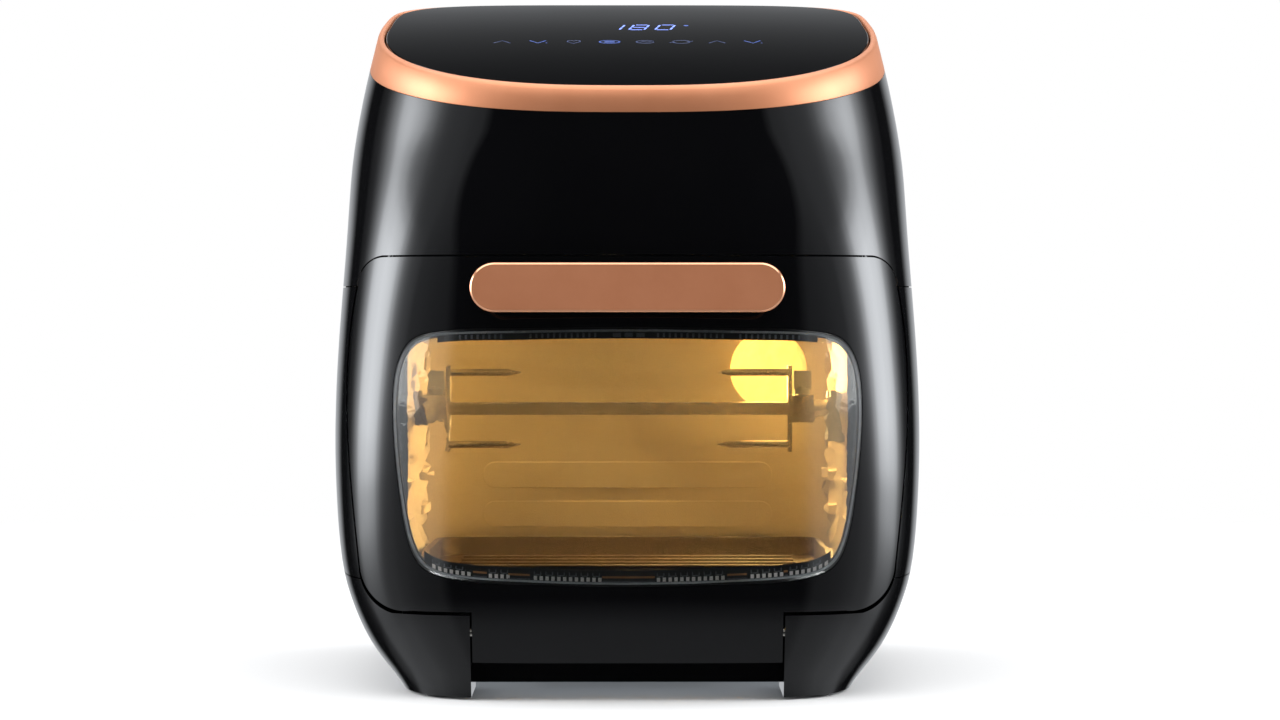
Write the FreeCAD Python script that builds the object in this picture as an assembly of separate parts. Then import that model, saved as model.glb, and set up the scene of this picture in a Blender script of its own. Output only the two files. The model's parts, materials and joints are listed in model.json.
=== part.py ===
"""Oven-style digital air fryer with a drop-down door and a rotisserie, built as separate pieces.

Millimetres. X runs to the right, Y runs away from the user, Z runs up.
The origin is the middle of the footprint, on the surface that the feet stand on.
"""
import FreeCAD, Part
import functools
import math
import os

V = FreeCAD.Vector
X_AXIS = V(1, 0, 0)
Y_AXIS = V(0, 1, 0)
Z_AXIS = V(0, 0, 1)

# ---------------------------------------------------------------- driving dimensions
SKIN = 2.5              # wall of the moulded outer shells
SEAM = 1.0              # gap round the door
PANEL_SEAM = 0.6        # gap between fixed shells
HANDLE_FRONT = -161.0   # foremost face of the whole object
FAR = 400.0             # half size of the blocks used for cutting

# Height profiles of the body, as (height, value) pairs
HALF_WIDTH = [(0, 121), (16, 133), (34, 144.5), (62, 154.5), (100, 158.8), (140, 160.2), (180, 159.2),
              (230, 156.5), (280, 154.5), (320, 149.5), (345, 143), (370, 138), (400, 133)]
FRONT = [(0, -120), (20, -127), (48, -136), (100, -143), (150, -145), (230, -139), (304, -128),
         (320, -124.3), (400, -104)]
WIDEST = [(0, 20), (60, 30), (150, 35), (230, 38), (320, 46), (400, 55)]
BACK = [(0, 150), (20, 156), (60, 160), (100, 161), (160, 160), (215, 156), (300, 141), (345, 131), (400, 120)]
FRONT_POWER = [(0, 5), (60, 4.6), (150, 4.2), (230, 3.6), (300, 2.8), (400, 2.7)]
BACK_POWER = 4.5
NARROWING = [(0, 0.0), (150, 0.03), (230, 0.05), (320, 0.14), (400, 0.16)]
SECTION_HEIGHTS = [0, 16, 34, 48, 62, 80, 110, 150, 190, 230, 265, 300, 330, 360, 400]
SECTION_POINTS = 56

# Sloping top
TOP_SLOPE = 0.2718      # rise per mm of depth, about 15 degrees
TOP_FRONT = (-124.0, 318.0)
BAND_SLOPE = 0.234
BAND_FRONT = (-126.0, 304.5)
BAND_BACK = 60.0        # behind here the band's top sinks a little below the glass
BAND_BACK_SLOPE = 0.2531
BAND_PROUD = 0.5
BAND_WALL = 3.6
GLASS_DROP = 0.8
GLASS_THICK = 3.0

# Fixed shells
BASE_Z = 8.0
LOWER_TOP = 61.9
SIDE_TOP = 214.6
REAR_Y = 136.4
REAR_BOTTOM = 24.0
REAR_TOP = 300.0
FOOT_INNER = 81.0
FOOT_TOP = 45.6
PAD_THICK = 2.5
PAD_R = 10.0
PAD_PLACES = [(-96.0, -94.0), (96.0, -94.0), (-96.0, 122.0), (96.0, 122.0)]
REAR_SCREW_PLACES = [(104.0, 40.0), (104.0, 282.0), (30.0, 292.0)]
BASE_SCREW_PLACES = [(62.0, -84.0), (62.0, 96.0)]
SCREW_HEAD_R = 3.4
SCREW_SHANK_R = 1.6
AIR_SLOT = 3.8          # height of the air slots
GLAND_X = -70.0
GLAND_Z = 44.0
GLAND_R = 8.0
APRON_Y = -104.0        # front of the recessed wall behind the foot of the door

# Door
DOOR_TOP = 230.0
DOOR_CORNER = 15.0
DOOR_SIDE = [(142.0, 215.0), (147.0, 154.0), (144.0, 111.0), (139.3, 66.0)]
DOOR_LOW = 47.5
DOOR_LOW_CORNER_X = 112.0
TONGUE_HALF = 80.0
TONGUE_LOW = 20.5
FOOT_GAP = 1.9
HINGE_Y = -123.0
HINGE_Z = 36.0
HINGE_PIN_R = 2.0
WINDOW = [(0, 194), (60, 193.2), (98, 191.8), (111, 187.6), (118, 177), (121, 157), (120, 130), (117, 104),
          (112.5, 82), (106, 70.5), (93, 65), (50, 61.8), (0, 60.6)]
WINDOW_GAP = 0.5
WINDOW_THICK = 3.0
INNER_FRAME_BACK = -105.0
INNER_FRAME_THICK = 5.0
DOOR_SCREW_PLACES = [(117.5, 215.5), (104.0, 57.0), (30.0, 221.0)]
DOOR_SCREW_HEAD_R = 2.6
DOOR_SCREW_SHANK_R = 1.3

# Handle
HANDLE_Z = 214.0
HANDLE_WIDE = 159.0
HANDLE_TALL = 25.0
PLATE_THICK = 2.4

# Cooking chamber
CAVITY_HALF = 120.0
CAVITY_FRONT = -102.6
CAVITY_BACK = 108.0
CAVITY_LOW = 57.0
CAVITY_HIGH = 215.0
SHEET = 1.0
FRAME_FRONT = -104.0
OPENING_HALF = 116.0
OPENING_LOW = 60.0
OPENING_HIGH = 214.0
FRAME_HALF = 127.0
FRAME_LOW = 50.0
FRAME_HIGH = 232.0
FRAME_CORNER = 14.0
FRAME_SHEET = 1.2
RUNNER_HEIGHTS = [86.0, 106.0, 183.0]
RIB_HEIGHTS = [82.0, 105.0]
SWITCH_X = 66.0
SWITCH_Z = 222.0
MAGNET_X = 90.0
MAGNET_R = 4.0

# Hot-air unit in the ceiling
FAN_Y = 5.0
DOME_R = 98.0
DOME_TOP = 262.0
COIL_Z = 238.0
COIL_TUBE = 3.3
COIL_RADII = (74.0, 88.0)
COIL_END_ANGLE = 81.0   # both ends turn up here, counted from +X
COIL_TURN_ANGLE = 99.0  # the inner turn passes into the outer one here
FAN_R = 64.0
COOLING_FAN_R = 62.0
SHAFT_R = 3.0
MOTOR_LOW = 290.0
MOTOR_HIGH = 314.0
ROTOR_R = 13.4

# Rotisserie
SPIT_Y = 5.0
SPIT_Z = 147.5
ROD_HALF = 3.5
FIT = 0.05
FORK_LEFT_X = -101.5
FORK_RIGHT_X = 92.0
TINE_LONG = 42.0
TINE_APART = 20.0
SCREW_R = 2.5
DRIVE_HOLE_R = 12.5
NECK_SLOT = 3.4
PROBE_Y = 70.0
PROBE_Z = 206.0

# Lamp
LAMP_X = 84.0
LAMP_Z = 167.0
LENS_R = 18.8

TOUCH_KEYS = 8
TOUCH_PITCH = 19.9
TOUCH_Y = 2.0


# ---------------------------------------------------------------- small helpers
def profile(table, z):
    """Smooth value of a height profile at z."""
    if z <= table[0][0]:
        return table[0][1]
    if z >= table[-1][0]:
        return table[-1][1]
    last = len(table) - 1
    i = max(k for k in range(last) if table[k][0] <= z)
    (z0, v0), (z1, v1) = table[i], table[i + 1]
    before = table[i - 1] if i > 0 else table[i]
    after = table[i + 2] if i + 2 <= last else table[i + 1]
    slope0 = (v1 - before[1]) / (z1 - before[0])
    slope1 = (after[1] - v0) / (after[0] - z0)
    span = z1 - z0
    t = (z - z0) / span
    start = (2 * t ** 3 - 3 * t ** 2 + 1) * v0 + (t ** 3 - 2 * t ** 2 + t) * span * slope0
    end = (3 * t ** 2 - 2 * t ** 3) * v1 + (t ** 3 - t ** 2) * span * slope1
    return start + end


def box(x0, x1, y0, y1, z0, z1):
    return Part.makeBox(x1 - x0, y1 - y0, z1 - z0, V(x0, y0, z0))


def rod(radius, start, end):
    """Round bar from one point to another."""
    along = V(*end) - V(*start)
    return Part.makeCylinder(radius, along.Length, V(*start), along)


def mirrored(shape):
    """Copy on the other side of the middle plane."""
    return shape.mirror(V(0, 0, 0), X_AXIS)


def both_sides(shape):
    return Part.makeCompound([shape, mirrored(shape)])


def joined(shapes):
    """Fuse touching shapes into one solid."""
    return shapes[0].fuse(shapes[1:])


def plate_outline(half_width, low, high, corner):
    """Rounded rectangle in the XZ plane, as a face at Y = 0."""
    h, r = half_width, corner
    d = r * (1 - math.sqrt(0.5))
    corners = [
        (V(h - r, 0, low), V(h - d, 0, low + d), V(h, 0, low + r)),
        (V(h, 0, high - r), V(h - d, 0, high - d), V(h - r, 0, high)),
        (V(r - h, 0, high), V(d - h, 0, high - d), V(-h, 0, high - r)),
        (V(-h, 0, low + r), V(d - h, 0, low + d), V(r - h, 0, low)),
    ]
    edges = []
    for i, (first, middle, last) in enumerate(corners):
        edges.append(Part.Arc(first, middle, last).toShape())
        edges.append(Part.makeLine(last, corners[(i + 1) % 4][0]))
    return Part.Face(Part.Wire(edges))


def plate(half_width, low, high, corner, y0, y1):
    """Upright rounded plate between two depths."""
    face = plate_outline(half_width, low, high, corner)
    face.translate(V(0, y0, 0))
    return face.extrude(V(0, y1 - y0, 0))


def pill(centre_x, centre_z, wide, tall, y0, y1):
    """Upright plate with half-round ends."""
    face = plate_outline(wide / 2, centre_z - tall / 2, centre_z + tall / 2, tall / 2 - 0.01)
    face.translate(V(centre_x, y0, 0))
    return face.extrude(V(0, y1 - y0, 0))


def slope_height(point, slope, y):
    return point[1] + slope * (y - point[0])


def below_slope(point, slope, drop=0.0):
    """Everything under a plane that rises towards the back."""
    front = slope_height(point, slope, -FAR) - drop
    back = slope_height(point, slope, FAR) - drop
    corners = [V(-FAR, -FAR, -FAR), V(-FAR, FAR, -FAR), V(-FAR, FAR, back), V(-FAR, -FAR, front)]
    return Part.Face(Part.makePolygon(corners + corners[:1])).extrude(V(2 * FAR, 0, 0))


def on_slope(shape):
    """Move a shape made about the origin onto the sloping top, tilted to match."""
    tilt = math.degrees(math.atan(TOP_SLOPE))
    shape.rotate(V(0, 0, 0), X_AXIS, tilt)
    shape.translate(V(0, 0, slope_height(TOP_FRONT, TOP_SLOPE, 0.0)))
    return shape


def mirrored_outline(half_edges):
    """Closed face from the edges of its right-hand half."""
    edges = half_edges + [mirrored(edge) for edge in half_edges]
    return Part.Face(Part.Wire(Part.__sortEdges__(edges)))


def curve_through(points, first=None, last=None):
    """Smooth curve in the XZ plane through (x, z) points, with optional end directions."""
    curve = Part.BSplineCurve()
    where = [V(x, 0, z) for x, z in points]
    if first is None:
        curve.interpolate(Points=where)
    else:
        curve.interpolate(Points=where, InitialTangent=V(first[0], 0, first[1]),
                          FinalTangent=V(last[0], 0, last[1]))
    return curve.toShape()


# ---------------------------------------------------------------- the body form
def body_section(z, inset):
    """Closed level outline of the body at height z, moved inwards by inset."""
    half = profile(HALF_WIDTH, z) - inset
    front = profile(FRONT, z) + inset
    back = profile(BACK, z) - inset
    middle = profile(WIDEST, z)
    front_power = profile(FRONT_POWER, z)
    narrowing = profile(NARROWING, z)
    points = []
    for i in range(SECTION_POINTS):
        angle = 2 * math.pi * i / SECTION_POINTS
        across, along = math.sin(angle), math.cos(angle)
        power = BACK_POWER if along > 0 else front_power
        reach = (abs(across) ** power + abs(along) ** power) ** (-1 / power)
        depth = reach * along
        if along > 0:
            points.append(V(half * reach * across, middle + depth * (back - middle), z))
        else:
            taper = 1 - narrowing * depth * depth
            points.append(V(half * reach * across * taper, middle + depth * (middle - front), z))
    curve = Part.BSplineCurve()
    curve.interpolate(Points=points, PeriodicFlag=True, Parameters=list(range(SECTION_POINTS + 1)))
    return Part.Wire([curve.toShape()])


@functools.lru_cache(maxsize=None)
def body(inset, low=SECTION_HEIGHTS[0]):
    """Solid of the whole body form, moved inwards by inset, from a level upwards."""
    heights = [z for z in SECTION_HEIGHTS if z >= low]
    return Part.makeLoft([body_section(z, inset) for z in heights], True, False)


OUTER = body(0.0)
INNER = body(SKIN)
TUBE = OUTER.cut(INNER)


def flat(point):
    """An (x, z) pair as a point at Y = 0."""
    return V(point[0], 0, point[1])


def door_prism(gap, foot_gap, tongue_low):
    """Block seen from the front as the outline of the door, grown by a gap."""
    side = [(x + gap, z) for x, z in DOOR_SIDE]
    top = DOOR_TOP + gap
    top_x = side[0][0] - DOOR_CORNER
    bend = DOOR_CORNER * math.sqrt(0.5)
    low = DOOR_LOW - foot_gap
    tongue = TONGUE_HALF + gap
    low_bend = (side[-1][0] - 7.0, low + 6.0)
    half = [
        Part.makeLine(V(0, 0, top), V(top_x, 0, top)),
        Part.Arc(V(top_x, 0, top), V(top_x + bend, 0, side[0][1] + bend), flat(side[0])).toShape(),
        curve_through(side),
        Part.Arc(flat(side[-1]), flat(low_bend), V(DOOR_LOW_CORNER_X, 0, low)).toShape(),
        Part.makeLine(V(DOOR_LOW_CORNER_X, 0, low), V(tongue, 0, low)),
        Part.makeLine(V(tongue, 0, low), V(tongue, 0, tongue_low)),
        Part.makeLine(V(tongue, 0, tongue_low), V(0, 0, tongue_low)),
    ]
    face = mirrored_outline(half)
    face.translate(V(0, -220, 0))
    return face.extrude(V(0, 200, 0))


def window_prism(gap):
    """Block seen from the front as the outline of the window, grown by a gap."""
    middle = (WINDOW[0][1] + WINDOW[-1][1]) / 2
    tall = WINDOW[0][1] - middle
    wide = max(x for x, z in WINDOW)
    points = [(x * (1 + gap / wide), middle + (z - middle) * (1 + gap / tall)) for x, z in WINDOW]
    face = mirrored_outline([curve_through(points, first=(1, 0), last=(-1, 0))])
    face.translate(V(0, -220, 0))
    return face.extrude(V(0, 200, 0))


DOOR_CUT = door_prism(SEAM, FOOT_GAP, -5.0)
REAR_CUT = box(-FAR, FAR, REAR_Y, FAR, REAR_BOTTOM - PANEL_SEAM, REAR_TOP + PANEL_SEAM)


# ---------------------------------------------------------------- fixed outer pieces
def upper_housing():
    """Shell over the door, under the metallic band, with a shelf that closes it above the door."""
    ring = TUBE.common(box(-FAR, FAR, -FAR, FAR, SIDE_TOP + PANEL_SEAM, FAR))
    ring = ring.common(below_slope(BAND_FRONT, BAND_SLOPE, 0.1))
    ring = ring.cut(DOOR_CUT).cut(REAR_CUT)
    shelf = body(SKIN - 0.5).common(box(-FAR, FAR, -FAR, -62.0, 236.5, 238.5))
    shelf = shelf.cut(box(-128.0, 128.0, -103.0, -60.0, 230.0, 240.0))
    return joined([ring, shelf])


def top_trim_ring():
    """Metallic band that frames the control glass."""
    ring = body(-BAND_PROUD, low=265).cut(body(BAND_WALL, low=265))
    ring = ring.common(below_slope(TOP_FRONT, TOP_SLOPE))
    bend = (BAND_BACK, slope_height(TOP_FRONT, TOP_SLOPE, BAND_BACK))
    ring = ring.common(below_slope(bend, BAND_BACK_SLOPE))
    return ring.cut(below_slope(BAND_FRONT, BAND_SLOPE))


def control_glass():
    """Dark touch glass set into the band."""
    pane = body(BAND_WALL + 0.4, low=265).common(below_slope(TOP_FRONT, TOP_SLOPE, GLASS_DROP))
    return pane.cut(below_slope(TOP_FRONT, TOP_SLOPE, GLASS_DROP + GLASS_THICK))


def glass_carrier():
    """Flat tray under the glass that carries the display and the touch contacts."""
    top = GLASS_DROP + GLASS_THICK + 0.1
    sheet = body(BAND_WALL + 1.0, low=265).common(below_slope(TOP_FRONT, TOP_SLOPE, top))
    sheet = sheet.cut(below_slope(TOP_FRONT, TOP_SLOPE, top + 1.5))
    sheet = sheet.cut(on_slope(box(-24.0, 44.0, 28.0, 66.0, -30.0, 30.0)))
    for i in range(TOUCH_KEYS):
        x = (i - (TOUCH_KEYS - 1) / 2) * TOUCH_PITCH
        sheet = sheet.cut(on_slope(Part.makeCylinder(5.5, 60, V(x, TOUCH_Y, -30))))
    return sheet


def control_board():
    """Circuit board of the touch panel."""
    board = box(-105.0, 105.0, -40.0, 72.0, -13.0, -11.4)
    chip = box(-60.0, -46.0, 30.0, 44.0, -15.0, -13.0)
    plug = box(60.0, 84.0, 44.0, 52.0, -21.0, -13.0)
    return on_slope(joined([board, chip, plug]))


def display_module():
    """Three-digit light display."""
    return on_slope(box(-20.0, 40.0, 32.0, 62.0, -11.2, -4.2))


def touch_contacts():
    """Hollow columns of conductive rubber between the board and the glass, one for each key."""
    columns = []
    for i in range(TOUCH_KEYS):
        x = (i - (TOUCH_KEYS - 1) / 2) * TOUCH_PITCH
        column = Part.makeCylinder(4.4, 7.4, V(x, TOUCH_Y, -11.3))
        columns.append(on_slope(column.cut(Part.makeCylinder(2.6, 10, V(x, TOUCH_Y, -12)))))
    return Part.makeCompound(columns)


def side_panel_right():
    """Side shell between the upper and the lower housing."""
    zone = box(0, FAR, -FAR, REAR_Y, LOWER_TOP + PANEL_SEAM, SIDE_TOP)
    return TUBE.common(zone).cut(DOOR_CUT)


def side_panel_left():
    return mirrored(side_panel_right())


def rear_cover():
    """Back shell with two banks of air slots and a hole for the gland."""
    zone = box(-FAR, FAR, REAR_Y + PANEL_SEAM, FAR, REAR_BOTTOM, REAR_TOP)
    cover = TUBE.common(zone)
    slots = []
    for row in range(9):
        z = 205.0 + 9.0 * row
        slots.append(box(-78.0, -6.0, 120.0, FAR, z, z + AIR_SLOT))
        slots.append(box(6.0, 78.0, 120.0, FAR, z, z + AIR_SLOT))
    cover = cover.cut(Part.makeCompound(slots))
    for x, z in REAR_SCREW_PLACES:
        for side in (-1, 1):
            back = rear_depth(x, z)
            cover = cover.cut(rod(SCREW_HEAD_R + 0.1, (side * x, back - 20, z), (side * x, back + 20, z)))
    return cover.cut(rod(GLAND_R + FIT, (GLAND_X, 120, GLAND_Z), (GLAND_X, FAR, GLAND_Z)))


def cord_gland():
    """Bush in the rear cover for the mains cord."""
    neck = rod(GLAND_R, (GLAND_X, 146, GLAND_Z), (GLAND_X, 160.6, GLAND_Z))
    collar = rod(10.5, (GLAND_X, 146, GLAND_Z), (GLAND_X, 151.5, GLAND_Z))
    bore = rod(3.6, (GLAND_X, 140, GLAND_Z), (GLAND_X, 170, GLAND_Z))
    return joined([neck, collar]).cut(bore)


def foot(front):
    """Hollow foot block at the right front or right rear corner, down to the rubber pad."""
    y0, y1 = (-FAR, -70.0) if front else (80.0, FAR)
    top = FOOT_TOP if front else BASE_Z + 10.0
    block = OUTER.common(box(FOOT_INNER, FAR, y0, y1, 1.5, top))
    y2, y3 = (-FAR, -66.0) if front else (84.0, FAR)
    hollow = INNER.common(box(FOOT_INNER + SKIN, FAR, y2, y3, 1.5 + 4.0, top - SKIN))
    return block.cut(hollow)


def lower_housing():
    """Bottom shell with its four feet and the recessed apron behind the foot of the door."""
    ring = TUBE.common(box(-FAR, FAR, -FAR, FAR, BASE_Z, LOWER_TOP)).cut(DOOR_CUT).cut(REAR_CUT)
    apron = box(-FOOT_INNER - 1, FOOT_INNER + 1, APRON_Y, APRON_Y + SKIN, BASE_Z, 49.0)
    right = [foot(True), foot(False)]
    whole = joined([ring, apron] + right + [mirrored(shape) for shape in right])
    for side in (-1, 1):
        whole = whole.cut(rod(2.6, (side * 78, HINGE_Y, HINGE_Z), (side * 90, HINGE_Y, HINGE_Z)))
    for x, y in PAD_PLACES:
        whole = whole.cut(rod(PAD_R + 0.1, (x, y, -1), (x, y, PAD_THICK)))
    return whole


def foot_pads():
    """Rubber pads that the air fryer stands on."""
    return Part.makeCompound([rod(PAD_R, (x, y, 0), (x, y, PAD_THICK)) for x, y in PAD_PLACES])


def base_plate():
    """Steel bottom with air slots."""
    sheet = body(SKIN + 0.5).common(box(-FAR, FAR, APRON_Y + SKIN + 0.4, FAR, BASE_Z + 2.0, BASE_Z + 3.2))
    for y0, y1 in ((-FAR, -65.0), (79.0, FAR)):
        for side in (-1, 1):
            x0, x1 = sorted((side * (FOOT_INNER - 0.6), side * FAR))
            sheet = sheet.cut(box(x0, x1, y0, y1, 0, 30))
    for x, y in BASE_SCREW_PLACES:
        for side in (-1, 1):
            sheet = sheet.cut(rod(SCREW_SHANK_R + 0.1, (side * x, y, 0), (side * x, y, 30)))
    slots = [box(-50.0, 50.0, y, y + AIR_SLOT, 0, 30) for y in range(-60, 70, 14)]
    return sheet.cut(Part.makeCompound(slots))


# ---------------------------------------------------------------- chamber and frame
def frame_block(inset, y0, y1):
    """Rounded block with the outline of the front frame, moved inwards by inset."""
    return plate(FRAME_HALF - inset, FRAME_LOW + inset, FRAME_HIGH - inset, FRAME_CORNER - inset, y0, y1)


def front_frame():
    """Pressed steel frame round the mouth of the chamber, with a flange out to the side shells."""
    mouth = plate(OPENING_HALF, OPENING_LOW, OPENING_HIGH, 14.0, FRAME_FRONT - 1, FRAME_FRONT + 3)
    face = frame_block(0.0, FRAME_FRONT, CAVITY_FRONT - 0.2).cut(mouth)
    wall = frame_block(0.0, CAVITY_FRONT - 0.2, -61.0).cut(frame_block(FRAME_SHEET, CAVITY_FRONT - 1, -60.0))
    flange = body(SKIN + 0.7).common(box(-FAR, FAR, -62.2, -61.0, 64.0, 212.0))
    flange = flange.cut(frame_block(FRAME_SHEET, -70.0, -60.0))
    frame = joined([face, wall, flange])
    frame = frame.cut(rod(3.2, (SWITCH_X, -110, SWITCH_Z), (SWITCH_X, -95, SWITCH_Z)))
    for side in (-1, 1):
        x = side * MAGNET_X
        frame = frame.cut(rod(MAGNET_R + 0.1, (x, -110, SWITCH_Z), (x, -95, SWITCH_Z)))
    return frame.cut(rod(DOME_R + 3, (0, FAN_Y, 225), (0, FAN_Y, 240)))


def cavity_floor():
    """Bottom sheet of the cooking chamber."""
    return box(-CAVITY_HALF, CAVITY_HALF, CAVITY_FRONT, CAVITY_BACK, CAVITY_LOW - SHEET, CAVITY_LOW)


def cavity_side():
    """Side sheet of the chamber on the right, with pressed runners for trays and racks."""
    sheet = box(CAVITY_HALF, CAVITY_HALF + SHEET, CAVITY_FRONT, CAVITY_BACK + SHEET,
                CAVITY_LOW - SHEET, CAVITY_HIGH)
    runners = []
    for z in RUNNER_HEIGHTS:
        for y in (-72.0, 48.0):
            runners.append(box(CAVITY_HALF - 4.0, CAVITY_HALF, y, y + 34.0, z, z + 5.0))
    return joined([sheet] + runners)


def cavity_wall_right():
    return cavity_side().cut(rod(2.6, (CAVITY_HALF - 9, PROBE_Y, PROBE_Z), (CAVITY_HALF + 9, PROBE_Y, PROBE_Z)))


def cavity_wall_left():
    hole = rod(DRIVE_HOLE_R, (-CAVITY_HALF - 3, SPIT_Y, SPIT_Z), (-CAVITY_HALF + 3, SPIT_Y, SPIT_Z))
    return mirrored(cavity_side()).cut(hole)


def cavity_back():
    """Back sheet with pressed ribs and the lamp opening."""
    sheet = box(-CAVITY_HALF, CAVITY_HALF, CAVITY_BACK, CAVITY_BACK + SHEET, CAVITY_LOW, CAVITY_HIGH)
    ribs = [pill(0, z, 172.0, 15.0, CAVITY_BACK - 2.5, CAVITY_BACK + 0.2) for z in RIB_HEIGHTS]
    back = joined([sheet] + ribs)
    return back.cut(rod(LENS_R + 0.2, (LAMP_X, 100, LAMP_Z), (LAMP_X, 115, LAMP_Z)))


def cavity_ceiling():
    """Top sheet of the chamber, open under the heater."""
    sheet = box(-CAVITY_HALF - SHEET, CAVITY_HALF + SHEET, CAVITY_FRONT, CAVITY_BACK + SHEET,
                CAVITY_HIGH, CAVITY_HIGH + SHEET)
    return sheet.cut(rod(DOME_R - 4, (0, FAN_Y, CAVITY_HIGH - 5), (0, FAN_Y, CAVITY_HIGH + 5)))


def round_fan(radius, angle):
    """Point (x, y) at a distance and an angle in degrees round the fan."""
    return radius * math.cos(math.radians(angle)), FAN_Y + radius * math.sin(math.radians(angle))


def heater_dome():
    """Drawn steel cup that holds the heater and the hot-air fan."""
    low = CAVITY_HIGH + SHEET + 0.1
    cup = rod(DOME_R + SHEET, (0, FAN_Y, low), (0, FAN_Y, DOME_TOP))
    cup = cup.cut(rod(DOME_R, (0, FAN_Y, low - 1), (0, FAN_Y, DOME_TOP - SHEET)))
    flange = rod(DOME_R + 8, (0, FAN_Y, low), (0, FAN_Y, low + SHEET))
    flange = flange.cut(rod(DOME_R, (0, FAN_Y, low - 1), (0, FAN_Y, low + 5)))
    dome = joined([cup, flange])
    dome = dome.cut(rod(6.0, (0, FAN_Y, 250), (0, FAN_Y, 270)))
    for radius in COIL_RADII:
        x, y = round_fan(radius, COIL_END_ANGLE)
        dome = dome.cut(rod(COIL_TUBE + 1.2, (x, y, 250), (x, y, 270)))
    return dome


def heater_coil():
    """Tubular element: an inner and an outer turn, with both ends turned up through the dome."""
    inner, outer = COIL_RADII
    turns = []
    for radius in (inner, outer):
        points = [round_fan(radius, angle) for angle in (COIL_END_ANGLE, -90.0, COIL_TURN_ANGLE)]
        turns.append([V(x, y, COIL_Z) for x, y in points])
    middle_x, middle_y = round_fan((inner + outer) / 2, COIL_TURN_ANGLE)
    bend = (outer - inner) / 2
    aside = math.radians(COIL_TURN_ANGLE)
    tip = V(middle_x + bend * math.sin(aside), middle_y - bend * math.cos(aside), COIL_Z)
    path = Part.Wire([
        Part.Arc(*turns[0]).toShape(),
        Part.Arc(turns[0][-1], tip, turns[1][-1]).toShape(),
        Part.Arc(*reversed(turns[1])).toShape(),
    ])
    start = turns[0][0]
    along = V(start.y - FAN_Y, -start.x, 0)
    tube = path.makePipeShell([Part.Wire(Part.makeCircle(COIL_TUBE, start, along))], True, True)
    parts = [tube]
    for end in (turns[0][0], turns[1][0]):
        parts.append(Part.makeSphere(COIL_TUBE, end))
        parts.append(rod(COIL_TUBE, end, (end.x, end.y, DOME_TOP + 12)))
    return joined(parts)


def heater_guard():
    """Pressed grille under the heater: rings held by spokes."""
    low, high = CAVITY_HIGH - 2.0, CAVITY_HIGH - 0.6
    rings = []
    for radius in (20, 40, 60, 80, 101):
        ring = rod(radius, (0, FAN_Y, low), (0, FAN_Y, high))
        rings.append(ring.cut(rod(radius - 3.0, (0, FAN_Y, low - 1), (0, FAN_Y, high + 1))))
    spokes = []
    for i in range(3):
        spoke = box(-100.0, 100.0, -2.0, 2.0, low, high)
        spoke.rotate(V(0, 0, 0), Z_AXIS, 60 * i + 30)
        spoke.translate(V(0, FAN_Y, 0))
        spokes.append(spoke)
    return joined(rings + spokes)


def fan_wheel(radius, low, high, blades, bore):
    """Disc with upright blades and a hub."""
    disc = rod(radius, (0, FAN_Y, low), (0, FAN_Y, low + 1.2))
    hub = rod(bore + 4, (0, FAN_Y, low), (0, FAN_Y, high))
    parts = [disc, hub]
    for i in range(blades):
        blade = box(radius * 0.42, radius - 1.0, -0.7, 0.7, 0, high - low)
        blade.rotate(V(radius * 0.42, 0, 0), Z_AXIS, 24)
        blade.rotate(V(0, 0, 0), Z_AXIS, 360.0 * i / blades)
        blade.translate(V(0, FAN_Y, low))
        parts.append(blade.common(rod(radius, (0, FAN_Y, low), (0, FAN_Y, high))))
    return joined(parts).cut(rod(bore, (0, FAN_Y, low - 1), (0, FAN_Y, high + 1)))


def circulation_fan():
    """Hot-air fan above the heater."""
    return fan_wheel(FAN_R, 246.0, 257.0, 12, SHAFT_R)


def cooling_fan():
    """Fan that cools the motor and the electronics."""
    return fan_wheel(COOLING_FAN_R, 268.0, 279.0, 14, SHAFT_R)


def fan_shaft():
    """Motor shaft with its rotor, from the hot-air fan up to the top bearing."""
    shaft = rod(SHAFT_R, (0, FAN_Y, 243.0), (0, FAN_Y, MOTOR_HIGH + 6))
    rotor = rod(ROTOR_R, (0, FAN_Y, MOTOR_LOW + 3), (0, FAN_Y, MOTOR_HIGH - 3))
    nut = rod(5.0, (0, FAN_Y, 241.5), (0, FAN_Y, 245.9))
    return joined([shaft, rotor, nut])


def fan_motor():
    """Stack and windings of the fan motor."""
    stack = box(-31.0, 31.0, FAN_Y - 27, FAN_Y + 27, MOTOR_LOW, MOTOR_HIGH)
    coil = box(-19.0, 19.0, FAN_Y + 27, FAN_Y + 40, MOTOR_LOW + 2, MOTOR_HIGH - 2)
    bore = rod(ROTOR_R + 0.4, (0, FAN_Y, MOTOR_LOW + 2.5), (0, FAN_Y, MOTOR_HIGH - 2.5))
    bearings = rod(SHAFT_R + 0.05, (0, FAN_Y, MOTOR_LOW - 5), (0, FAN_Y, MOTOR_HIGH + 5))
    return joined([stack, coil]).cut(bore).cut(bearings)


def motor_bracket():
    """Bridge over the cooling fan that carries the motor."""
    bridge = box(-80.0, 80.0, FAN_Y - 26, FAN_Y + 26, MOTOR_LOW - 2, MOTOR_LOW)
    legs = [box(x, x + 1.5, FAN_Y - 26, FAN_Y + 26, DOME_TOP, MOTOR_LOW - 1) for x in (-80.0, 78.5)]
    return joined([bridge] + legs).cut(rod(6.0, (0, FAN_Y, 280), (0, FAN_Y, 300)))


def temp_sensor():
    """Temperature probe through the right wall."""
    probe = rod(2.4, (100.0, PROBE_Y, PROBE_Z), (128.0, PROBE_Y, PROBE_Z))
    return joined([probe, rod(7.0, (CAVITY_HALF + SHEET + 0.1, PROBE_Y, PROBE_Z), (125.0, PROBE_Y, PROBE_Z))])


def thermal_cutout():
    """Safety thermostat on the outside of the right wall."""
    x = CAVITY_HALF + SHEET + 0.1
    return joined([rod(9.0, (x, -20.0, 200.0), (x + 8, -20.0, 200.0)),
                   box(x, x + 1.2, -34.0, -6.0, 194.0, 206.0)])


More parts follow.
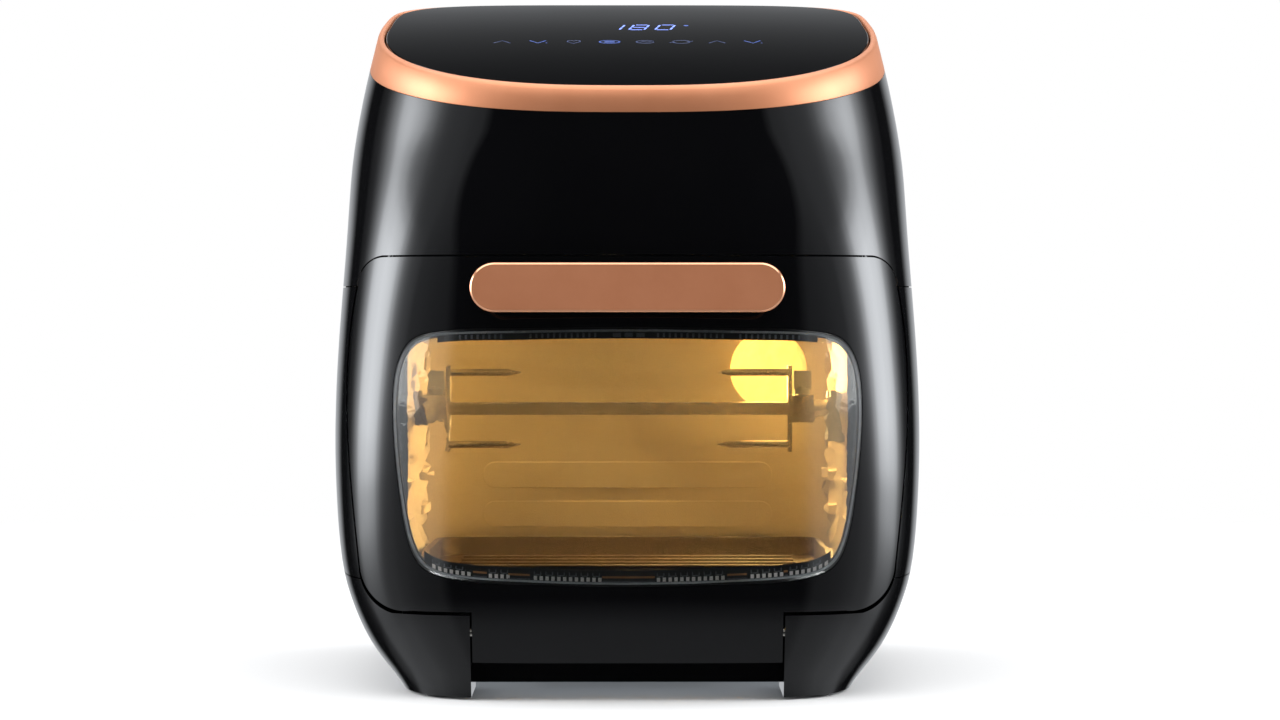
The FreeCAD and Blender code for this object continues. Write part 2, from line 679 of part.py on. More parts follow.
def power_board():
    """Mains board with its transformer, relay and capacitor."""
    board = box(-90.0, 20.0, 122.0, 123.6, 118.0, 196.0)
    parts = [box(-82.0, -50.0, 123.6, 145.0, 128.0, 152.0), box(-40.0, -22.0, 123.6, 140.0, 130.0, 145.0),
             rod(8.0, (-8.0, 123.0, 140.0), (-8.0, 146.0, 140.0)), box(-80.0, 10.0, 123.6, 131.0, 182.0, 190.0)]
    corners = [(x, z) for x in (-84.0, 14.0) for z in (124.0, 190.0)]
    posts = [rod(3.0, (x, CAVITY_BACK + SHEET, z), (x, 122.5, z)) for x, z in corners]
    return joined([board] + parts + posts)


def lamp_holder():
    """Ceramic socket behind the back wall."""
    flange = rod(24.0, (LAMP_X, CAVITY_BACK + SHEET + 0.1, LAMP_Z), (LAMP_X, 112.0, LAMP_Z))
    cup = rod(15.0, (LAMP_X, 111.0, LAMP_Z), (LAMP_X, 134.0, LAMP_Z))
    return joined([flange, cup]).cut(rod(10.0, (LAMP_X, 100.0, LAMP_Z), (LAMP_X, 128.0, LAMP_Z)))


def oven_lamp():
    """Small oven bulb."""
    glass = rod(8.0, (LAMP_X, 106.0, LAMP_Z), (LAMP_X, 118.0, LAMP_Z))
    tip = Part.makeSphere(8.0, V(LAMP_X, 106.0, LAMP_Z))
    return joined([glass, tip, rod(7.0, (LAMP_X, 117.0, LAMP_Z), (LAMP_X, 127.9, LAMP_Z))])


def lamp_lens():
    """Glass cover of the lamp, standing a little into the chamber."""
    shell = rod(LENS_R, (LAMP_X, 95.0, LAMP_Z), (LAMP_X, CAVITY_BACK + SHEET, LAMP_Z))
    rim = rod(23.0, (LAMP_X, CAVITY_BACK - 2.0, LAMP_Z), (LAMP_X, CAVITY_BACK - 0.1, LAMP_Z))
    hollow = rod(16.0, (LAMP_X, 97.5, LAMP_Z), (LAMP_X, 120.0, LAMP_Z))
    return joined([shell, rim]).cut(hollow)


def rotisserie_motor():
    """Slow geared motor that turns the spit."""
    x = -CAVITY_HALF - SHEET - 0.2
    case = rod(25.0, (x - 25, SPIT_Y, SPIT_Z), (x - 2.5, SPIT_Y, SPIT_Z))
    ears = box(x - 2.6, x - 0.1, SPIT_Y - 33, SPIT_Y + 33, SPIT_Z - 9, SPIT_Z + 9)
    boss = rod(4.0 + FIT, (x - 12, SPIT_Y, SPIT_Z), (x + 2, SPIT_Y, SPIT_Z))
    clear = rod(DRIVE_HOLE_R, (x - 2.7, SPIT_Y, SPIT_Z), (x + 2, SPIT_Y, SPIT_Z))
    return joined([case, ears]).cut(boss).cut(clear)


def spit_rest():
    """Bracket on the right wall with an open slot that the end of the spit drops into."""
    web = box(112.4, 113.9, SPIT_Y - 14, SPIT_Y + 12, SPIT_Z - 18, SPIT_Z + 10)
    flange = box(113.0, CAVITY_HALF - 0.1, SPIT_Y - 14, SPIT_Y - 12.5, SPIT_Z - 18, SPIT_Z + 10)
    foot_plate = box(113.0, CAVITY_HALF - 0.1, SPIT_Y - 14, SPIT_Y + 12, SPIT_Z - 18, SPIT_Z - 16.5)
    slot = box(100.0, 116.0, -NECK_SLOT, NECK_SLOT, 0, 40)
    slot = slot.fuse(rod(NECK_SLOT, (100, 0, 0), (116, 0, 0)))
    slot.rotate(V(0, 0, 0), X_AXIS, 25)
    slot.translate(V(0, SPIT_Y, SPIT_Z))
    return joined([web, flange, foot_plate]).cut(slot)


def door_switch():
    """Micro switch behind the frame that cuts the power when the door opens."""
    case = box(SWITCH_X - 10, SWITCH_X + 10, -100.5, -86.5, SWITCH_Z - 5.0, SWITCH_Z + 5.5)
    return case.cut(rod(2.0 + FIT, (SWITCH_X, -110, SWITCH_Z), (SWITCH_X, -88, SWITCH_Z)))


def door_switch_plunger():
    """Plunger of the door switch, pressed in while the door is shut."""
    return rod(2.0, (SWITCH_X, INNER_FRAME_BACK + 0.3, SWITCH_Z), (SWITCH_X, -91.0, SWITCH_Z))


def hinge_blocks():
    """Metal bearing blocks in the front feet for the hinge pins."""
    block = box(FOOT_INNER + SKIN + 0.1, 90.5, HINGE_Y - 3.6, HINGE_Y + 10, HINGE_Z - 6, HINGE_Z + 6)
    block = block.common(body(SKIN + 0.4))
    return both_sides(block.cut(rod(HINGE_PIN_R + FIT, (80, HINGE_Y, HINGE_Z), (95, HINGE_Y, HINGE_Z))))


def door_magnets():
    """Magnets in the frame that hold the door shut."""
    magnet = rod(MAGNET_R, (MAGNET_X, FRAME_FRONT + 0.1, SWITCH_Z), (MAGNET_X, FRAME_FRONT + 6, SWITCH_Z))
    return both_sides(magnet)


def rear_depth(x, z):
    """Depth of the back of the body at a point seen from behind."""
    middle = profile(WIDEST, z)
    share = 1 - (abs(x) / profile(HALF_WIDTH, z)) ** BACK_POWER
    return middle + (profile(BACK, z) - middle) * share ** (1 / BACK_POWER)


def housing_screws():
    """Screws of the rear cover and the bottom, as one set."""
    screws = []
    for x, z in REAR_SCREW_PLACES:
        back = rear_depth(x, z)
        screws.append(rod(SCREW_HEAD_R, (x, back - 2.0, z), (x, back + 0.8, z)))
        screws.append(rod(SCREW_SHANK_R, (x, back - 14.0, z), (x, back - 1.0, z)))
    for x, y in BASE_SCREW_PLACES:
        screws.append(rod(SCREW_HEAD_R, (x, y, BASE_Z + 0.4), (x, y, BASE_Z + 1.9)))
        screws.append(rod(SCREW_SHANK_R, (x, y, BASE_Z + 1.8), (x, y, BASE_Z + 12)))
    pairs = [joined(screws[i:i + 2]) for i in range(0, len(screws), 2)]
    return both_sides(Part.makeCompound(pairs))


def level_block(half, y0, y1, z0, z1, corner):
    """Block with rounded upright edges."""
    block = box(-half, half, y0, y1, z0, z1)
    upright = [edge for edge in block.Edges if abs(edge.tangentAt(edge.FirstParameter).z) > 0.9]
    return block.makeFillet(corner, upright)


def drip_tray():
    """Shallow tray on the chamber floor."""
    low, rim = CAVITY_LOW + 0.2, 69.0
    pan = level_block(112.0, -95.0, 100.0, low, rim, 14.0)
    lip = level_block(114.0, -97.0, 102.0, rim - 1.2, rim, 16.0)
    inside = level_block(110.6, -93.6, 98.6, low + 1.2, rim + 1, 12.6)
    ribs = [box(-96.0, 96.0, y, y + 3.0, low + 1.0, low + 2.6) for y in range(-78, 90, 22)]
    return joined([pan.fuse(lip).cut(inside)] + ribs)


# ---------------------------------------------------------------- door
def door_panel():
    """Curved front of the door with its window hole and hinge lugs."""
    skin = TUBE.common(door_prism(0.0, 0.0, TONGUE_LOW)).cut(window_prism(0.0))
    lug = box(66.0, 79.6, -FAR, HINGE_Y + 5, HINGE_Z - 5.5, HINGE_Z + 5.5).common(body(SKIN - 0.5))
    lug = lug.cut(rod(HINGE_PIN_R, (60, HINGE_Y, HINGE_Z), (85, HINGE_Y, HINGE_Z)))
    return joined([skin, lug, mirrored(lug)])


def door_window():
    """Curved outer glass, flush with the door."""
    return OUTER.cut(body(WINDOW_THICK)).common(window_prism(-WINDOW_GAP))


def window_bezel():
    """Dark ring behind the edge of the glass."""
    ring = body(WINDOW_THICK + 0.2).cut(body(WINDOW_THICK + 2.4))
    return ring.common(window_prism(3.5)).cut(window_prism(-2.2))


def door_inner_frame():
    """Inner frame of the door that holds the flat inner glass."""
    front = INNER_FRAME_BACK - INNER_FRAME_THICK
    frame = plate(126.0, 53.0, 226.0, 22.0, front, INNER_FRAME_BACK)
    frame = frame.cut(plate(114.0, 66.0, 212.0, 10.0, front - 1, INNER_FRAME_BACK + 1))
    frame = frame.cut(plate(118.0, 61.0, 216.0, 12.0, front + 1.2, INNER_FRAME_BACK + 1))
    posts = []
    for x, z in DOOR_SCREW_PLACES:
        posts.append(rod(3.4, (x, -FAR, z), (x, front + 0.5, z)).common(body(SKIN + 0.1)))
    frame = joined([frame] + posts + [mirrored(post) for post in posts])
    for x, z in DOOR_SCREW_PLACES:
        for side in (-1, 1):
            frame = frame.cut(rod(DOOR_SCREW_SHANK_R + 0.1, (side * x, -FAR, z), (side * x, FAR, z)))
            seat = INNER_FRAME_BACK - 2
            frame = frame.cut(rod(DOOR_SCREW_HEAD_R + 0.1, (side * x, seat, z), (side * x, FAR, z)))
    for side in (-1, 1):
        frame = frame.cut(rod(MAGNET_R + 1.0, (side * MAGNET_X, INNER_FRAME_BACK - 1.2, SWITCH_Z),
                              (side * MAGNET_X, FAR, SWITCH_Z)))
    return frame


def door_inner_glass():
    """Flat heat-resistant pane."""
    return plate(117.8, 61.2, 215.8, 11.8, INNER_FRAME_BACK - INNER_FRAME_THICK + 1.3, INNER_FRAME_BACK - 0.2)


def door_seal():
    """Silicone seal round the inner frame."""
    ring = plate(120.0, 56.0, 217.0, 15.0, INNER_FRAME_BACK, FRAME_FRONT - 0.35)
    return ring.cut(plate(118.2, 58.4, 215.4, 12.0, INNER_FRAME_BACK - 1, FRAME_FRONT + 1))


def door_screws():
    """Screws that hold the inner frame to the front panel, as one set."""
    screws = []
    for x, z in DOOR_SCREW_PLACES:
        head = rod(DOOR_SCREW_HEAD_R, (x, INNER_FRAME_BACK - 1.9, z), (x, INNER_FRAME_BACK - 0.1, z))
        shank = rod(DOOR_SCREW_SHANK_R, (x, INNER_FRAME_BACK - 8, z), (x, INNER_FRAME_BACK - 1, z))
        screws.append(joined([head, shank]))
    return both_sides(Part.makeCompound(screws))


def door_strikes():
    """Steel discs in the door that the magnets pull on."""
    near, far = INNER_FRAME_BACK - 1.1, INNER_FRAME_BACK - 0.1
    return both_sides(rod(MAGNET_R + 0.9, (MAGNET_X, near, SWITCH_Z), (MAGNET_X, far, SWITCH_Z)))


def hinge_pins():
    """Steel pins fixed in the door lugs."""
    return both_sides(rod(HINGE_PIN_R, (66.0, HINGE_Y, HINGE_Z), (90.0, HINGE_Y, HINGE_Z)))


def handle_body():
    """Black grip with a finger pocket open from below."""
    front = HANDLE_FRONT + PLATE_THICK
    grip = pill(0, HANDLE_Z, HANDLE_WIDE - 3, HANDLE_TALL - 3, front, -130.0)
    pocket = pill(0, HANDLE_Z - 8.0, HANDLE_WIDE - 18, HANDLE_TALL + 6, front + 3.4, -120.0)
    grip = grip.cut(pocket)
    return grip.cut(OUTER)


def handle_plate():
    """Metallic cover plate of the handle."""
    cover = pill(0, HANDLE_Z, HANDLE_WIDE, HANDLE_TALL, HANDLE_FRONT, HANDLE_FRONT + PLATE_THICK)
    rim = [edge for edge in cover.Edges if abs(edge.CenterOfMass.y - HANDLE_FRONT) < 0.01]
    return cover.makeChamfer(0.8, rim)


# ---------------------------------------------------------------- rotisserie
def drive_socket():
    """Turning socket of the rotisserie motor, with a square hole for the spit."""
    shank = rod(4.0, (-132.0, SPIT_Y, SPIT_Z), (-123.0, SPIT_Y, SPIT_Z))
    cone = Part.makeCone(11.5, 8.5, 8.5, V(-123.5, SPIT_Y, SPIT_Z), X_AXIS)
    collar = rod(9.5, (-115.6, SPIT_Y, SPIT_Z), (-114.2, SPIT_Y, SPIT_Z))
    half = ROD_HALF + FIT
    bore = box(-121.8, -100.0, SPIT_Y - half, SPIT_Y + half, SPIT_Z - half, SPIT_Z + half)
    return joined([shank, cone, collar]).cut(bore)


def spit_rod():
    """Square spit with a round neck and a bead at its free end."""
    bar = box(-121.6, 98.0, SPIT_Y - ROD_HALF, SPIT_Y + ROD_HALF, SPIT_Z - ROD_HALF, SPIT_Z + ROD_HALF)
    neck = rod(3.0, (97.0, SPIT_Y, SPIT_Z), (117.0, SPIT_Y, SPIT_Z))
    sleeve = rod(5.0, (104.0, SPIT_Y, SPIT_Z), (111.8, SPIT_Y, SPIT_Z))
    bead = Part.makeSphere(4.0, V(117.6, SPIT_Y, SPIT_Z)).common(box(114.6, 119.6, -50, 50, 100, 200))
    return joined([bar, neck, sleeve, bead])


def fork(x, inward):
    """Two-pronged fork on a hub that slides on the spit; inward is +1 or -1 along X."""
    half = ROD_HALF + FIT
    back = x - inward * 12.0
    x0, x1 = sorted((x, back))
    hub = box(x0, x1, SPIT_Y - 7.5, SPIT_Y + 7.5, SPIT_Z - 7.5, SPIT_Z + 7.5)
    p0, p1 = sorted((x, x + inward * 2.5))
    bar = box(p0, p1, SPIT_Y - 6, SPIT_Y + 6, SPIT_Z - TINE_APART - 4, SPIT_Z + TINE_APART + 4)
    parts = [hub, bar]
    for side in (-1, 1):
        z = SPIT_Z + side * TINE_APART
        parts.append(rod(2.0, (x, SPIT_Y, z), (x + inward * (TINE_LONG - 8), SPIT_Y, z)))
        tip = Part.makeCone(2.0, 0.4, 8.0, V(x + inward * (TINE_LONG - 8), SPIT_Y, z), V(inward, 0, 0))
        parts.append(tip)
    whole = joined(parts)
    whole = whole.cut(box(x0 - 10, x1 + 10, SPIT_Y - half, SPIT_Y + half, SPIT_Z - half, SPIT_Z + half))
    middle = (x + back) / 2
    return whole.cut(rod(SCREW_R + FIT, (middle, SPIT_Y, SPIT_Z), (middle, SPIT_Y, SPIT_Z + 12)))


def thumbscrew(x, inward):
    """Winged screw that clamps a fork to the spit."""
    middle = x - inward * 6.0
    shank = rod(SCREW_R, (middle, SPIT_Y, SPIT_Z + ROD_HALF + 0.3), (middle, SPIT_Y, SPIT_Z + 12))
    collar = rod(4.2, (middle, SPIT_Y, SPIT_Z + 7.8), (middle, SPIT_Y, SPIT_Z + 11))
    wing = box(middle - 5.0, middle + 5.0, SPIT_Y - 1.3, SPIT_Y + 1.3, SPIT_Z + 10.5, SPIT_Z + 21)
    return joined([shank, collar, wing])


def fork_left():
    return fork(FORK_LEFT_X, 1)


def fork_right():
    return fork(FORK_RIGHT_X, -1)


def thumbscrew_left():
    return thumbscrew(FORK_LEFT_X, 1)


def thumbscrew_right():
    return thumbscrew(FORK_RIGHT_X, -1)


# ---------------------------------------------------------------- write every piece
PIECES = [
    upper_housing, top_trim_ring, control_glass, glass_carrier, display_module, control_board, touch_contacts,
    side_panel_left, side_panel_right, rear_cover, cord_gland, lower_housing, foot_pads, base_plate,
    front_frame, cavity_floor, cavity_wall_left, cavity_wall_right, cavity_back, cavity_ceiling,
    heater_dome, heater_coil, heater_guard, motor_bracket, fan_motor, temp_sensor, thermal_cutout,
    power_board, lamp_holder, oven_lamp, lamp_lens, rotisserie_motor, spit_rest, door_switch,
    hinge_blocks, door_magnets, housing_screws, drip_tray,
    door_panel, door_window, window_bezel, door_inner_frame, door_inner_glass, door_seal, door_screws,
    door_strikes, hinge_pins, handle_body, handle_plate,
    fan_shaft, circulation_fan, cooling_fan, drive_socket, spit_rod,
    fork_left, fork_right, thumbscrew_left, thumbscrew_right, door_switch_plunger,
]

os.makedirs("parts", exist_ok=True)
for make in PIECES:
    piece = make()
    if not piece.isValid() or piece.Volume <= 0:
        print("check", make.__name__, piece.isValid(), piece.Volume)
    piece.exportStep("parts/" + make.__name__ + ".step")
    size = piece.BoundBox
    print(make.__name__, len(piece.Solids), round(piece.Volume), "x", round(size.XMin, 2), round(size.XMax, 2),
          "y", round(size.YMin, 2), round(size.YMax, 2), "z", round(size.ZMin, 2), round(size.ZMax, 2))
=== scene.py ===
"""Looks of the oven-style air fryer: gloss black shells, rose-gold trim, a lit chamber, a touch panel."""

import bmesh
import bpy
import json
import math
from mathutils import Matrix, Vector


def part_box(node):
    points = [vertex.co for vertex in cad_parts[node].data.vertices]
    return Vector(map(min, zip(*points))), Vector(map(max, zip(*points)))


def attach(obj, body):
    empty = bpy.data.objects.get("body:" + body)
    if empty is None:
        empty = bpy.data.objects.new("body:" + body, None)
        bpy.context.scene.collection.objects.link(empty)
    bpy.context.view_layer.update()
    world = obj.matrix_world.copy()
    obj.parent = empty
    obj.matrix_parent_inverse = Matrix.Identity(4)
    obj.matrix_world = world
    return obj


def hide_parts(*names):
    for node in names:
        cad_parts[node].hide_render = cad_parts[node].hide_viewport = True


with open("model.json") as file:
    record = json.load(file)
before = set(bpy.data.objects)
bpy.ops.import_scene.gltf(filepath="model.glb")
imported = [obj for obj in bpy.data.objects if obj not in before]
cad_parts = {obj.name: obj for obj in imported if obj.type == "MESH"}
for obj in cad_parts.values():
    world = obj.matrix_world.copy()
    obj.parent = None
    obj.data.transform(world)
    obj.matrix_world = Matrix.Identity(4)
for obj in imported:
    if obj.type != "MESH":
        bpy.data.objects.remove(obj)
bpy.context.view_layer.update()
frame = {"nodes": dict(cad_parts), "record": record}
NODES = frame["nodes"]
MM = 0.001


# ---------------------------------------------------------------- node and material helpers
def hex_colour(text):
    """sRGB hex to a linear colour with alpha 1."""
    channels = [int(text[i:i + 2], 16) / 255 for i in (0, 2, 4)]
    linear = [c / 12.92 if c <= 0.04045 else ((c + 0.055) / 1.055) ** 2.4 for c in channels]
    return (*linear, 1.0)


def add_node(tree, kind, settings=None, links=None):
    """A shader node with its settings, fed by other nodes' outputs."""
    node = tree.nodes.new(kind)
    for name, value in (settings or {}).items():
        if isinstance(name, str) and hasattr(node, name):
            setattr(node, name, value)
        else:
            node.inputs[name].default_value = value
    for name, (source, output) in (links or {}).items():
        tree.links.new(source.outputs[output], node.inputs[name])
    return node


def blank_material(name):
    """A new material with an empty node tree."""
    material = bpy.data.materials.new(name)
    material.use_nodes = True
    material.node_tree.nodes.clear()
    return material, material.node_tree


def finish_material(tree, shader):
    """Join the last shader to the material's output."""
    add_node(tree, "ShaderNodeOutputMaterial", {}, {"Surface": (shader, 0)})


def surface(name, light, dark, rough, patch_mm, grain_mm, grain_high_mm, metallic=0.0, ior=1.5,
            stretch=(1.0, 1.0, 1.0), bump=0.4):
    """A solid finish: two close colours in patches, roughness that wanders, and a fine grain in relief."""
    material, tree = blank_material(name)
    place = add_node(tree, "ShaderNodeTexCoord")
    mapped = add_node(tree, "ShaderNodeMapping", {"Scale": stretch}, {"Vector": (place, "Object")})
    patches = add_node(tree, "ShaderNodeTexNoise",
                       {"Scale": 1 / (patch_mm * MM), "Detail": 5.0, "Roughness": 0.6}, {"Vector": (mapped, 0)})
    colour = add_node(tree, "ShaderNodeMix", {"data_type": "RGBA", 6: hex_colour(light), 7: hex_colour(dark)},
                      {0: (patches, 0)})
    smudges = add_node(tree, "ShaderNodeTexNoise", {"Scale": 1 / (patch_mm * 2.7 * MM), "Detail": 3.0},
                       {"Vector": (place, "Object")})
    roughness = add_node(tree, "ShaderNodeMapRange", {1: 0.3, 2: 0.7, 3: rough[0], 4: rough[1]},
                         {0: (smudges, 0)})
    grain = add_node(tree, "ShaderNodeTexNoise", {"Scale": 1 / (grain_mm * MM), "Detail": 4.0},
                     {"Vector": (mapped, 0)})
    relief = add_node(tree, "ShaderNodeBump", {"Strength": bump, "Distance": grain_high_mm * MM},
                      {"Height": (grain, 0)})
    shader = add_node(tree, "ShaderNodeBsdfPrincipled",
                      {"Metallic": metallic, "IOR": ior},
                      {"Base Color": (colour, 2), "Roughness": (roughness, 0), "Normal": (relief, 0)})
    finish_material(tree, shader)
    return material


def glass(name, light, dark, tint_mm):
    """A clear pane with a heat-reflecting coat, whose tint varies faintly, as float glass does."""
    material, tree = blank_material(name)
    place = add_node(tree, "ShaderNodeTexCoord")
    marks = add_node(tree, "ShaderNodeTexNoise", {"Scale": 1 / (tint_mm * MM), "Detail": 4.0},
                     {"Vector": (place, "Object")})
    tint = add_node(tree, "ShaderNodeMix", {"data_type": "RGBA", 6: hex_colour(light), 7: hex_colour(dark)},
                    {0: (marks, 0)})
    shader = add_node(tree, "ShaderNodeBsdfPrincipled",
                      {"Transmission Weight": 1.0, "Roughness": 0.0, "IOR": 1.46, "Coat Weight": 1.0,
                       "Coat IOR": 2.2, "Coat Roughness": 0.0}, {"Base Color": (tint, 2)})
    finish_material(tree, shader)
    return material


def glow(name, base, light, strength, patch_mm):
    """A lit surface whose brightness varies a little over its area."""
    material, tree = blank_material(name)
    place = add_node(tree, "ShaderNodeTexCoord")
    spots = add_node(tree, "ShaderNodeTexNoise", {"Scale": 1 / (patch_mm * MM)}, {"Vector": (place, "Object")})
    power = add_node(tree, "ShaderNodeMapRange", {1: 0.2, 2: 0.8, 3: strength * 0.75, 4: strength * 1.25},
                     {0: (spots, 0)})
    shader = add_node(tree, "ShaderNodeBsdfPrincipled",
                      {"Base Color": hex_colour(base), "Emission Color": hex_colour(light), "Roughness": 0.3},
                      {"Emission Strength": (power, 0)})
    finish_material(tree, shader)
    return material


# ---------------------------------------------------------------- finishes
# High-gloss ABS, injection moulded: near-black, mirror-like, with a trace of orange peel.
gloss_abs = surface("gloss black ABS, moulded", "070708", "030304", (0.03, 0.055), 60, 6.0, 0.002, bump=0.06)
# Rose-gold anodised aluminium, finely bead-blasted: satin, warm, with an even grit.
rose_aluminium = surface("rose-gold anodised aluminium, blasted", "D38E68", "C47E58", (0.40, 0.46), 22, 0.35,
                         0.004, metallic=0.6)
# The same metal where the edge was cut bright after anodising.
rose_edge = surface("rose-gold aluminium, diamond-cut edge", "F0B894", "E0A27C", (0.10, 0.18), 12, 0.6, 0.002,
                    metallic=1.0)
# Toughened touch glass, printed black behind: deep black under a hard polish.
panel_glass = surface("toughened glass, black printed", "040405", "020203", (0.012, 0.03), 70, 9.0, 0.0005,
                      ior=1.52, bump=0.03)
# Clear toughened oven glass, float polished, with a hard metal-oxide coat that mirrors faintly.
oven_glass = glass("toughened oven glass, polished", "F8FAF8", "F2F6F3", 25)
# Ground edge of the glass, which gathers light and looks pale grey.
ground_edge = surface("glass edge, ground", "C9CCD0", "9EA3A8", (0.18, 0.32), 3.0, 0.5, 0.004)
# Ceramic enamels printed on the oven glass and fired in: dense, with a low satin shine.
white_print = surface("ceramic enamel print, white, fired", "F4F0EE", "DAD5D2", (0.28, 0.4), 1.2, 0.4, 0.004)
bronze_print = surface("ceramic enamel print, bronze, fired", "B98050", "8C5C34", (0.28, 0.4), 6.0, 0.4, 0.004)
grey_print = surface("ceramic enamel print, grey, fired", "6E7178", "4A4C52", (0.28, 0.4), 1.5, 0.4, 0.004)
# Polypropylene with a fine spark-eroded texture: matte black.
matte_plastic = surface("black polypropylene, textured", "17171A", "0E0E10", (0.42, 0.58), 14, 0.6, 0.03)
# Moulded white acetal of the switch plunger: slightly waxy.
white_acetal = surface("white acetal, moulded", "E6E5E0", "D6D5CF", (0.35, 0.5), 8, 0.8, 0.01)
# Bright-rolled stainless chamber sheet: soft streaks along the rolling direction.
chamber_steel = surface("stainless sheet, bright rolled", "E4DCCB", "D3CAB8", (0.42, 0.45), 9, 0.8, 0.006,
                        metallic=1.0, stretch=(0.12, 1.0, 1.0))
# Zinc-coated steel sheet: dull silver with a faint spangle.
zinc_steel = surface("galvanised steel sheet", "B9BDC0", "A5AAAF", (0.38, 0.43), 6, 1.2, 0.006, metallic=1.0)
# Stainless bar, ground and polished: bright, with marks along its length.
spit_steel = surface("stainless bar, polished", "E2DED6", "CFCAC2", (0.24, 0.28), 7, 0.5, 0.004, metallic=1.0,
                     stretch=(0.1, 1.0, 1.0))
# Heater sheath alloy, dulled by heat.
heater_alloy = surface("heater sheath alloy, oxidised", "6A625A", "3F3A36", (0.42, 0.6), 8, 0.7, 0.02,
                       metallic=0.9)
# Plain rolled aluminium of the fans: pale, with faint streaks.
fan_aluminium = surface("aluminium sheet, rolled", "C9CBCD", "B6B8BB", (0.34, 0.39), 10, 0.8, 0.006,
                        metallic=1.0, stretch=(1.0, 0.15, 1.0))
# Dark fluoropolymer coat on the tray: slightly speckled, satin.
tray_coat = surface("non-stick coat, sprayed", "120D0A", "0C0907", (0.38, 0.44), 3.0, 1.2, 0.01, ior=1.35)
# Green lacquer over glass-fibre board: smooth, half gloss.
board_lacquer = surface("circuit board, green lacquer", "1E5A33", "124226", (0.28, 0.4), 5, 0.8, 0.02)
# Moulded rubber of the feet and the touch contacts: dull black.
foot_rubber = surface("rubber, moulded", "1B1B1C", "101011", (0.65, 0.8), 6, 0.7, 0.04)
# Extruded silicone of the door seal: dark grey, soft sheen.
seal_silicone = surface("silicone, extruded", "3A3A3C", "2A2A2C", (0.5, 0.62), 6, 0.8, 0.02)
# Fired steatite of the lamp socket: off-white, dry.
lamp_ceramic = surface("steatite, fired", "E9E4D8", "D8D2C4", (0.45, 0.6), 5, 0.7, 0.03)
# Nickel plate on the magnets: warm silver, bright.
nickel_plate = surface("nickel plate", "CFCBC2", "BDB8AE", (0.20, 0.25), 5, 0.5, 0.003, metallic=1.0)
# Oven bulb and its cover glass, lit from within: warm and even.
lamp_glow = glow("lit lamp glass", "FFE2A8", "FFC878", 1.5, 6.0)
# Display segments and touch marks, lit from behind the glass.
digit_glow = glow("display light, blue white", "6F86E8", "7F98F4", 1.15, 4.0)
mark_glow = glow("touch mark light, blue", "1D2A50", "35509A", 0.30, 3.0)
mark_bright = glow("touch mark light, bright blue", "2B4690", "4468C8", 0.55, 3.0)

FINISH = {
    gloss_abs: ["upper_housing", "side_panel_left", "side_panel_right", "lower_housing", "door_panel"],
    rose_aluminium: ["top_trim_ring", "handle_plate"],
    panel_glass: ["control_glass"],
    oven_glass: ["door_window", "door_inner_glass"],
    matte_plastic: ["glass_carrier", "display_module", "rear_cover", "cord_gland", "door_switch",
                    "window_bezel", "door_inner_frame", "handle_body", "drive_socket"],
    white_acetal: ["door_switch_plunger"],
    chamber_steel: ["cavity_floor", "cavity_wall_left", "cavity_wall_right", "cavity_back", "cavity_ceiling",
                    "heater_guard"],
    zinc_steel: ["base_plate", "front_frame", "heater_dome", "motor_bracket", "fan_motor", "rotisserie_motor",
                 "hinge_blocks", "door_strikes", "thumbscrew_left", "thumbscrew_right", "spit_rest"],
    spit_steel: ["temp_sensor", "housing_screws", "door_screws", "hinge_pins", "fan_shaft",
                 "spit_rod", "fork_left", "fork_right"],
    heater_alloy: ["heater_coil"],
    fan_aluminium: ["circulation_fan", "cooling_fan", "thermal_cutout"],
    tray_coat: ["drip_tray"],
    board_lacquer: ["control_board", "power_board"],
    foot_rubber: ["foot_pads", "touch_contacts"],
    seal_silicone: ["door_seal"],
    lamp_ceramic: ["lamp_holder"],
    nickel_plate: ["door_magnets"],
    lamp_glow: ["oven_lamp", "lamp_lens"],
}
FINISH_OF = {node: material for material, nodes in FINISH.items() for node in nodes}
for node, material in FINISH_OF.items():
    for place in NODES[node].material_slots:
        place.material = material

BODY_OF = {node: name for name, nodes in frame["record"]["behaviour"]["bodies"].items() for node in nodes}

# ---------------------------------------------------------------- the body form, in millimetres
HALF_WIDTH = [(0, 121), (16, 133), (34, 144.5), (62, 154.5), (100, 158.8), (140, 160.2), (180, 159.2),
              (230, 156.5), (280, 154.5), (320, 149.5), (345, 143), (370, 138), (400, 133)]
FRONT = [(0, -120), (20, -127), (48, -136), (100, -143), (150, -145), (230, -139), (304, -128),
         (320, -124.3), (400, -104)]
WIDEST = [(0, 20), (60, 30), (150, 35), (230, 38), (320, 46), (400, 55)]
BACK = [(0, 150), (20, 156), (60, 160), (100, 161), (160, 160), (215, 156), (300, 141), (345, 131), (400, 120)]
FRONT_POWER = [(0, 5), (60, 4.6), (150, 4.2), (230, 3.6), (300, 2.8), (400, 2.7)]
BACK_POWER = 4.5
NARROWING = [(0, 0.0), (150, 0.03), (230, 0.05), (320, 0.14), (400, 0.16)]
SKIN = 2.5
TOP_SLOPE = 0.2718
TOP_FRONT = (-124.0, 318.0)
TOP_LINE = (TOP_FRONT, TOP_SLOPE)
BAND_SLOPE = 0.234
BAND_FRONT = (-126.0, 304.5)
BAND_LINE = (BAND_FRONT, BAND_SLOPE)
BAND_PROUD = 0.5
BAND_WALL = 3.6
BAND_SINK = 1.5             # how far the band's top dips at the back
BAND_SINK_FROM = 50.0
BAND_SINK_RUN = 70.0
GLASS_DROP = 0.8
SIDE_SEAMS = (214.9, 62.2)  # heights where the side shells meet the shells above and below
WINDOW = [(0, 194), (60, 193.2), (98, 191.8), (111, 187.6), (118, 177), (121, 157), (120, 130), (117, 104),
          (112.5, 82), (106, 70.5), (93, 65), (50, 61.8), (0, 60.6)]


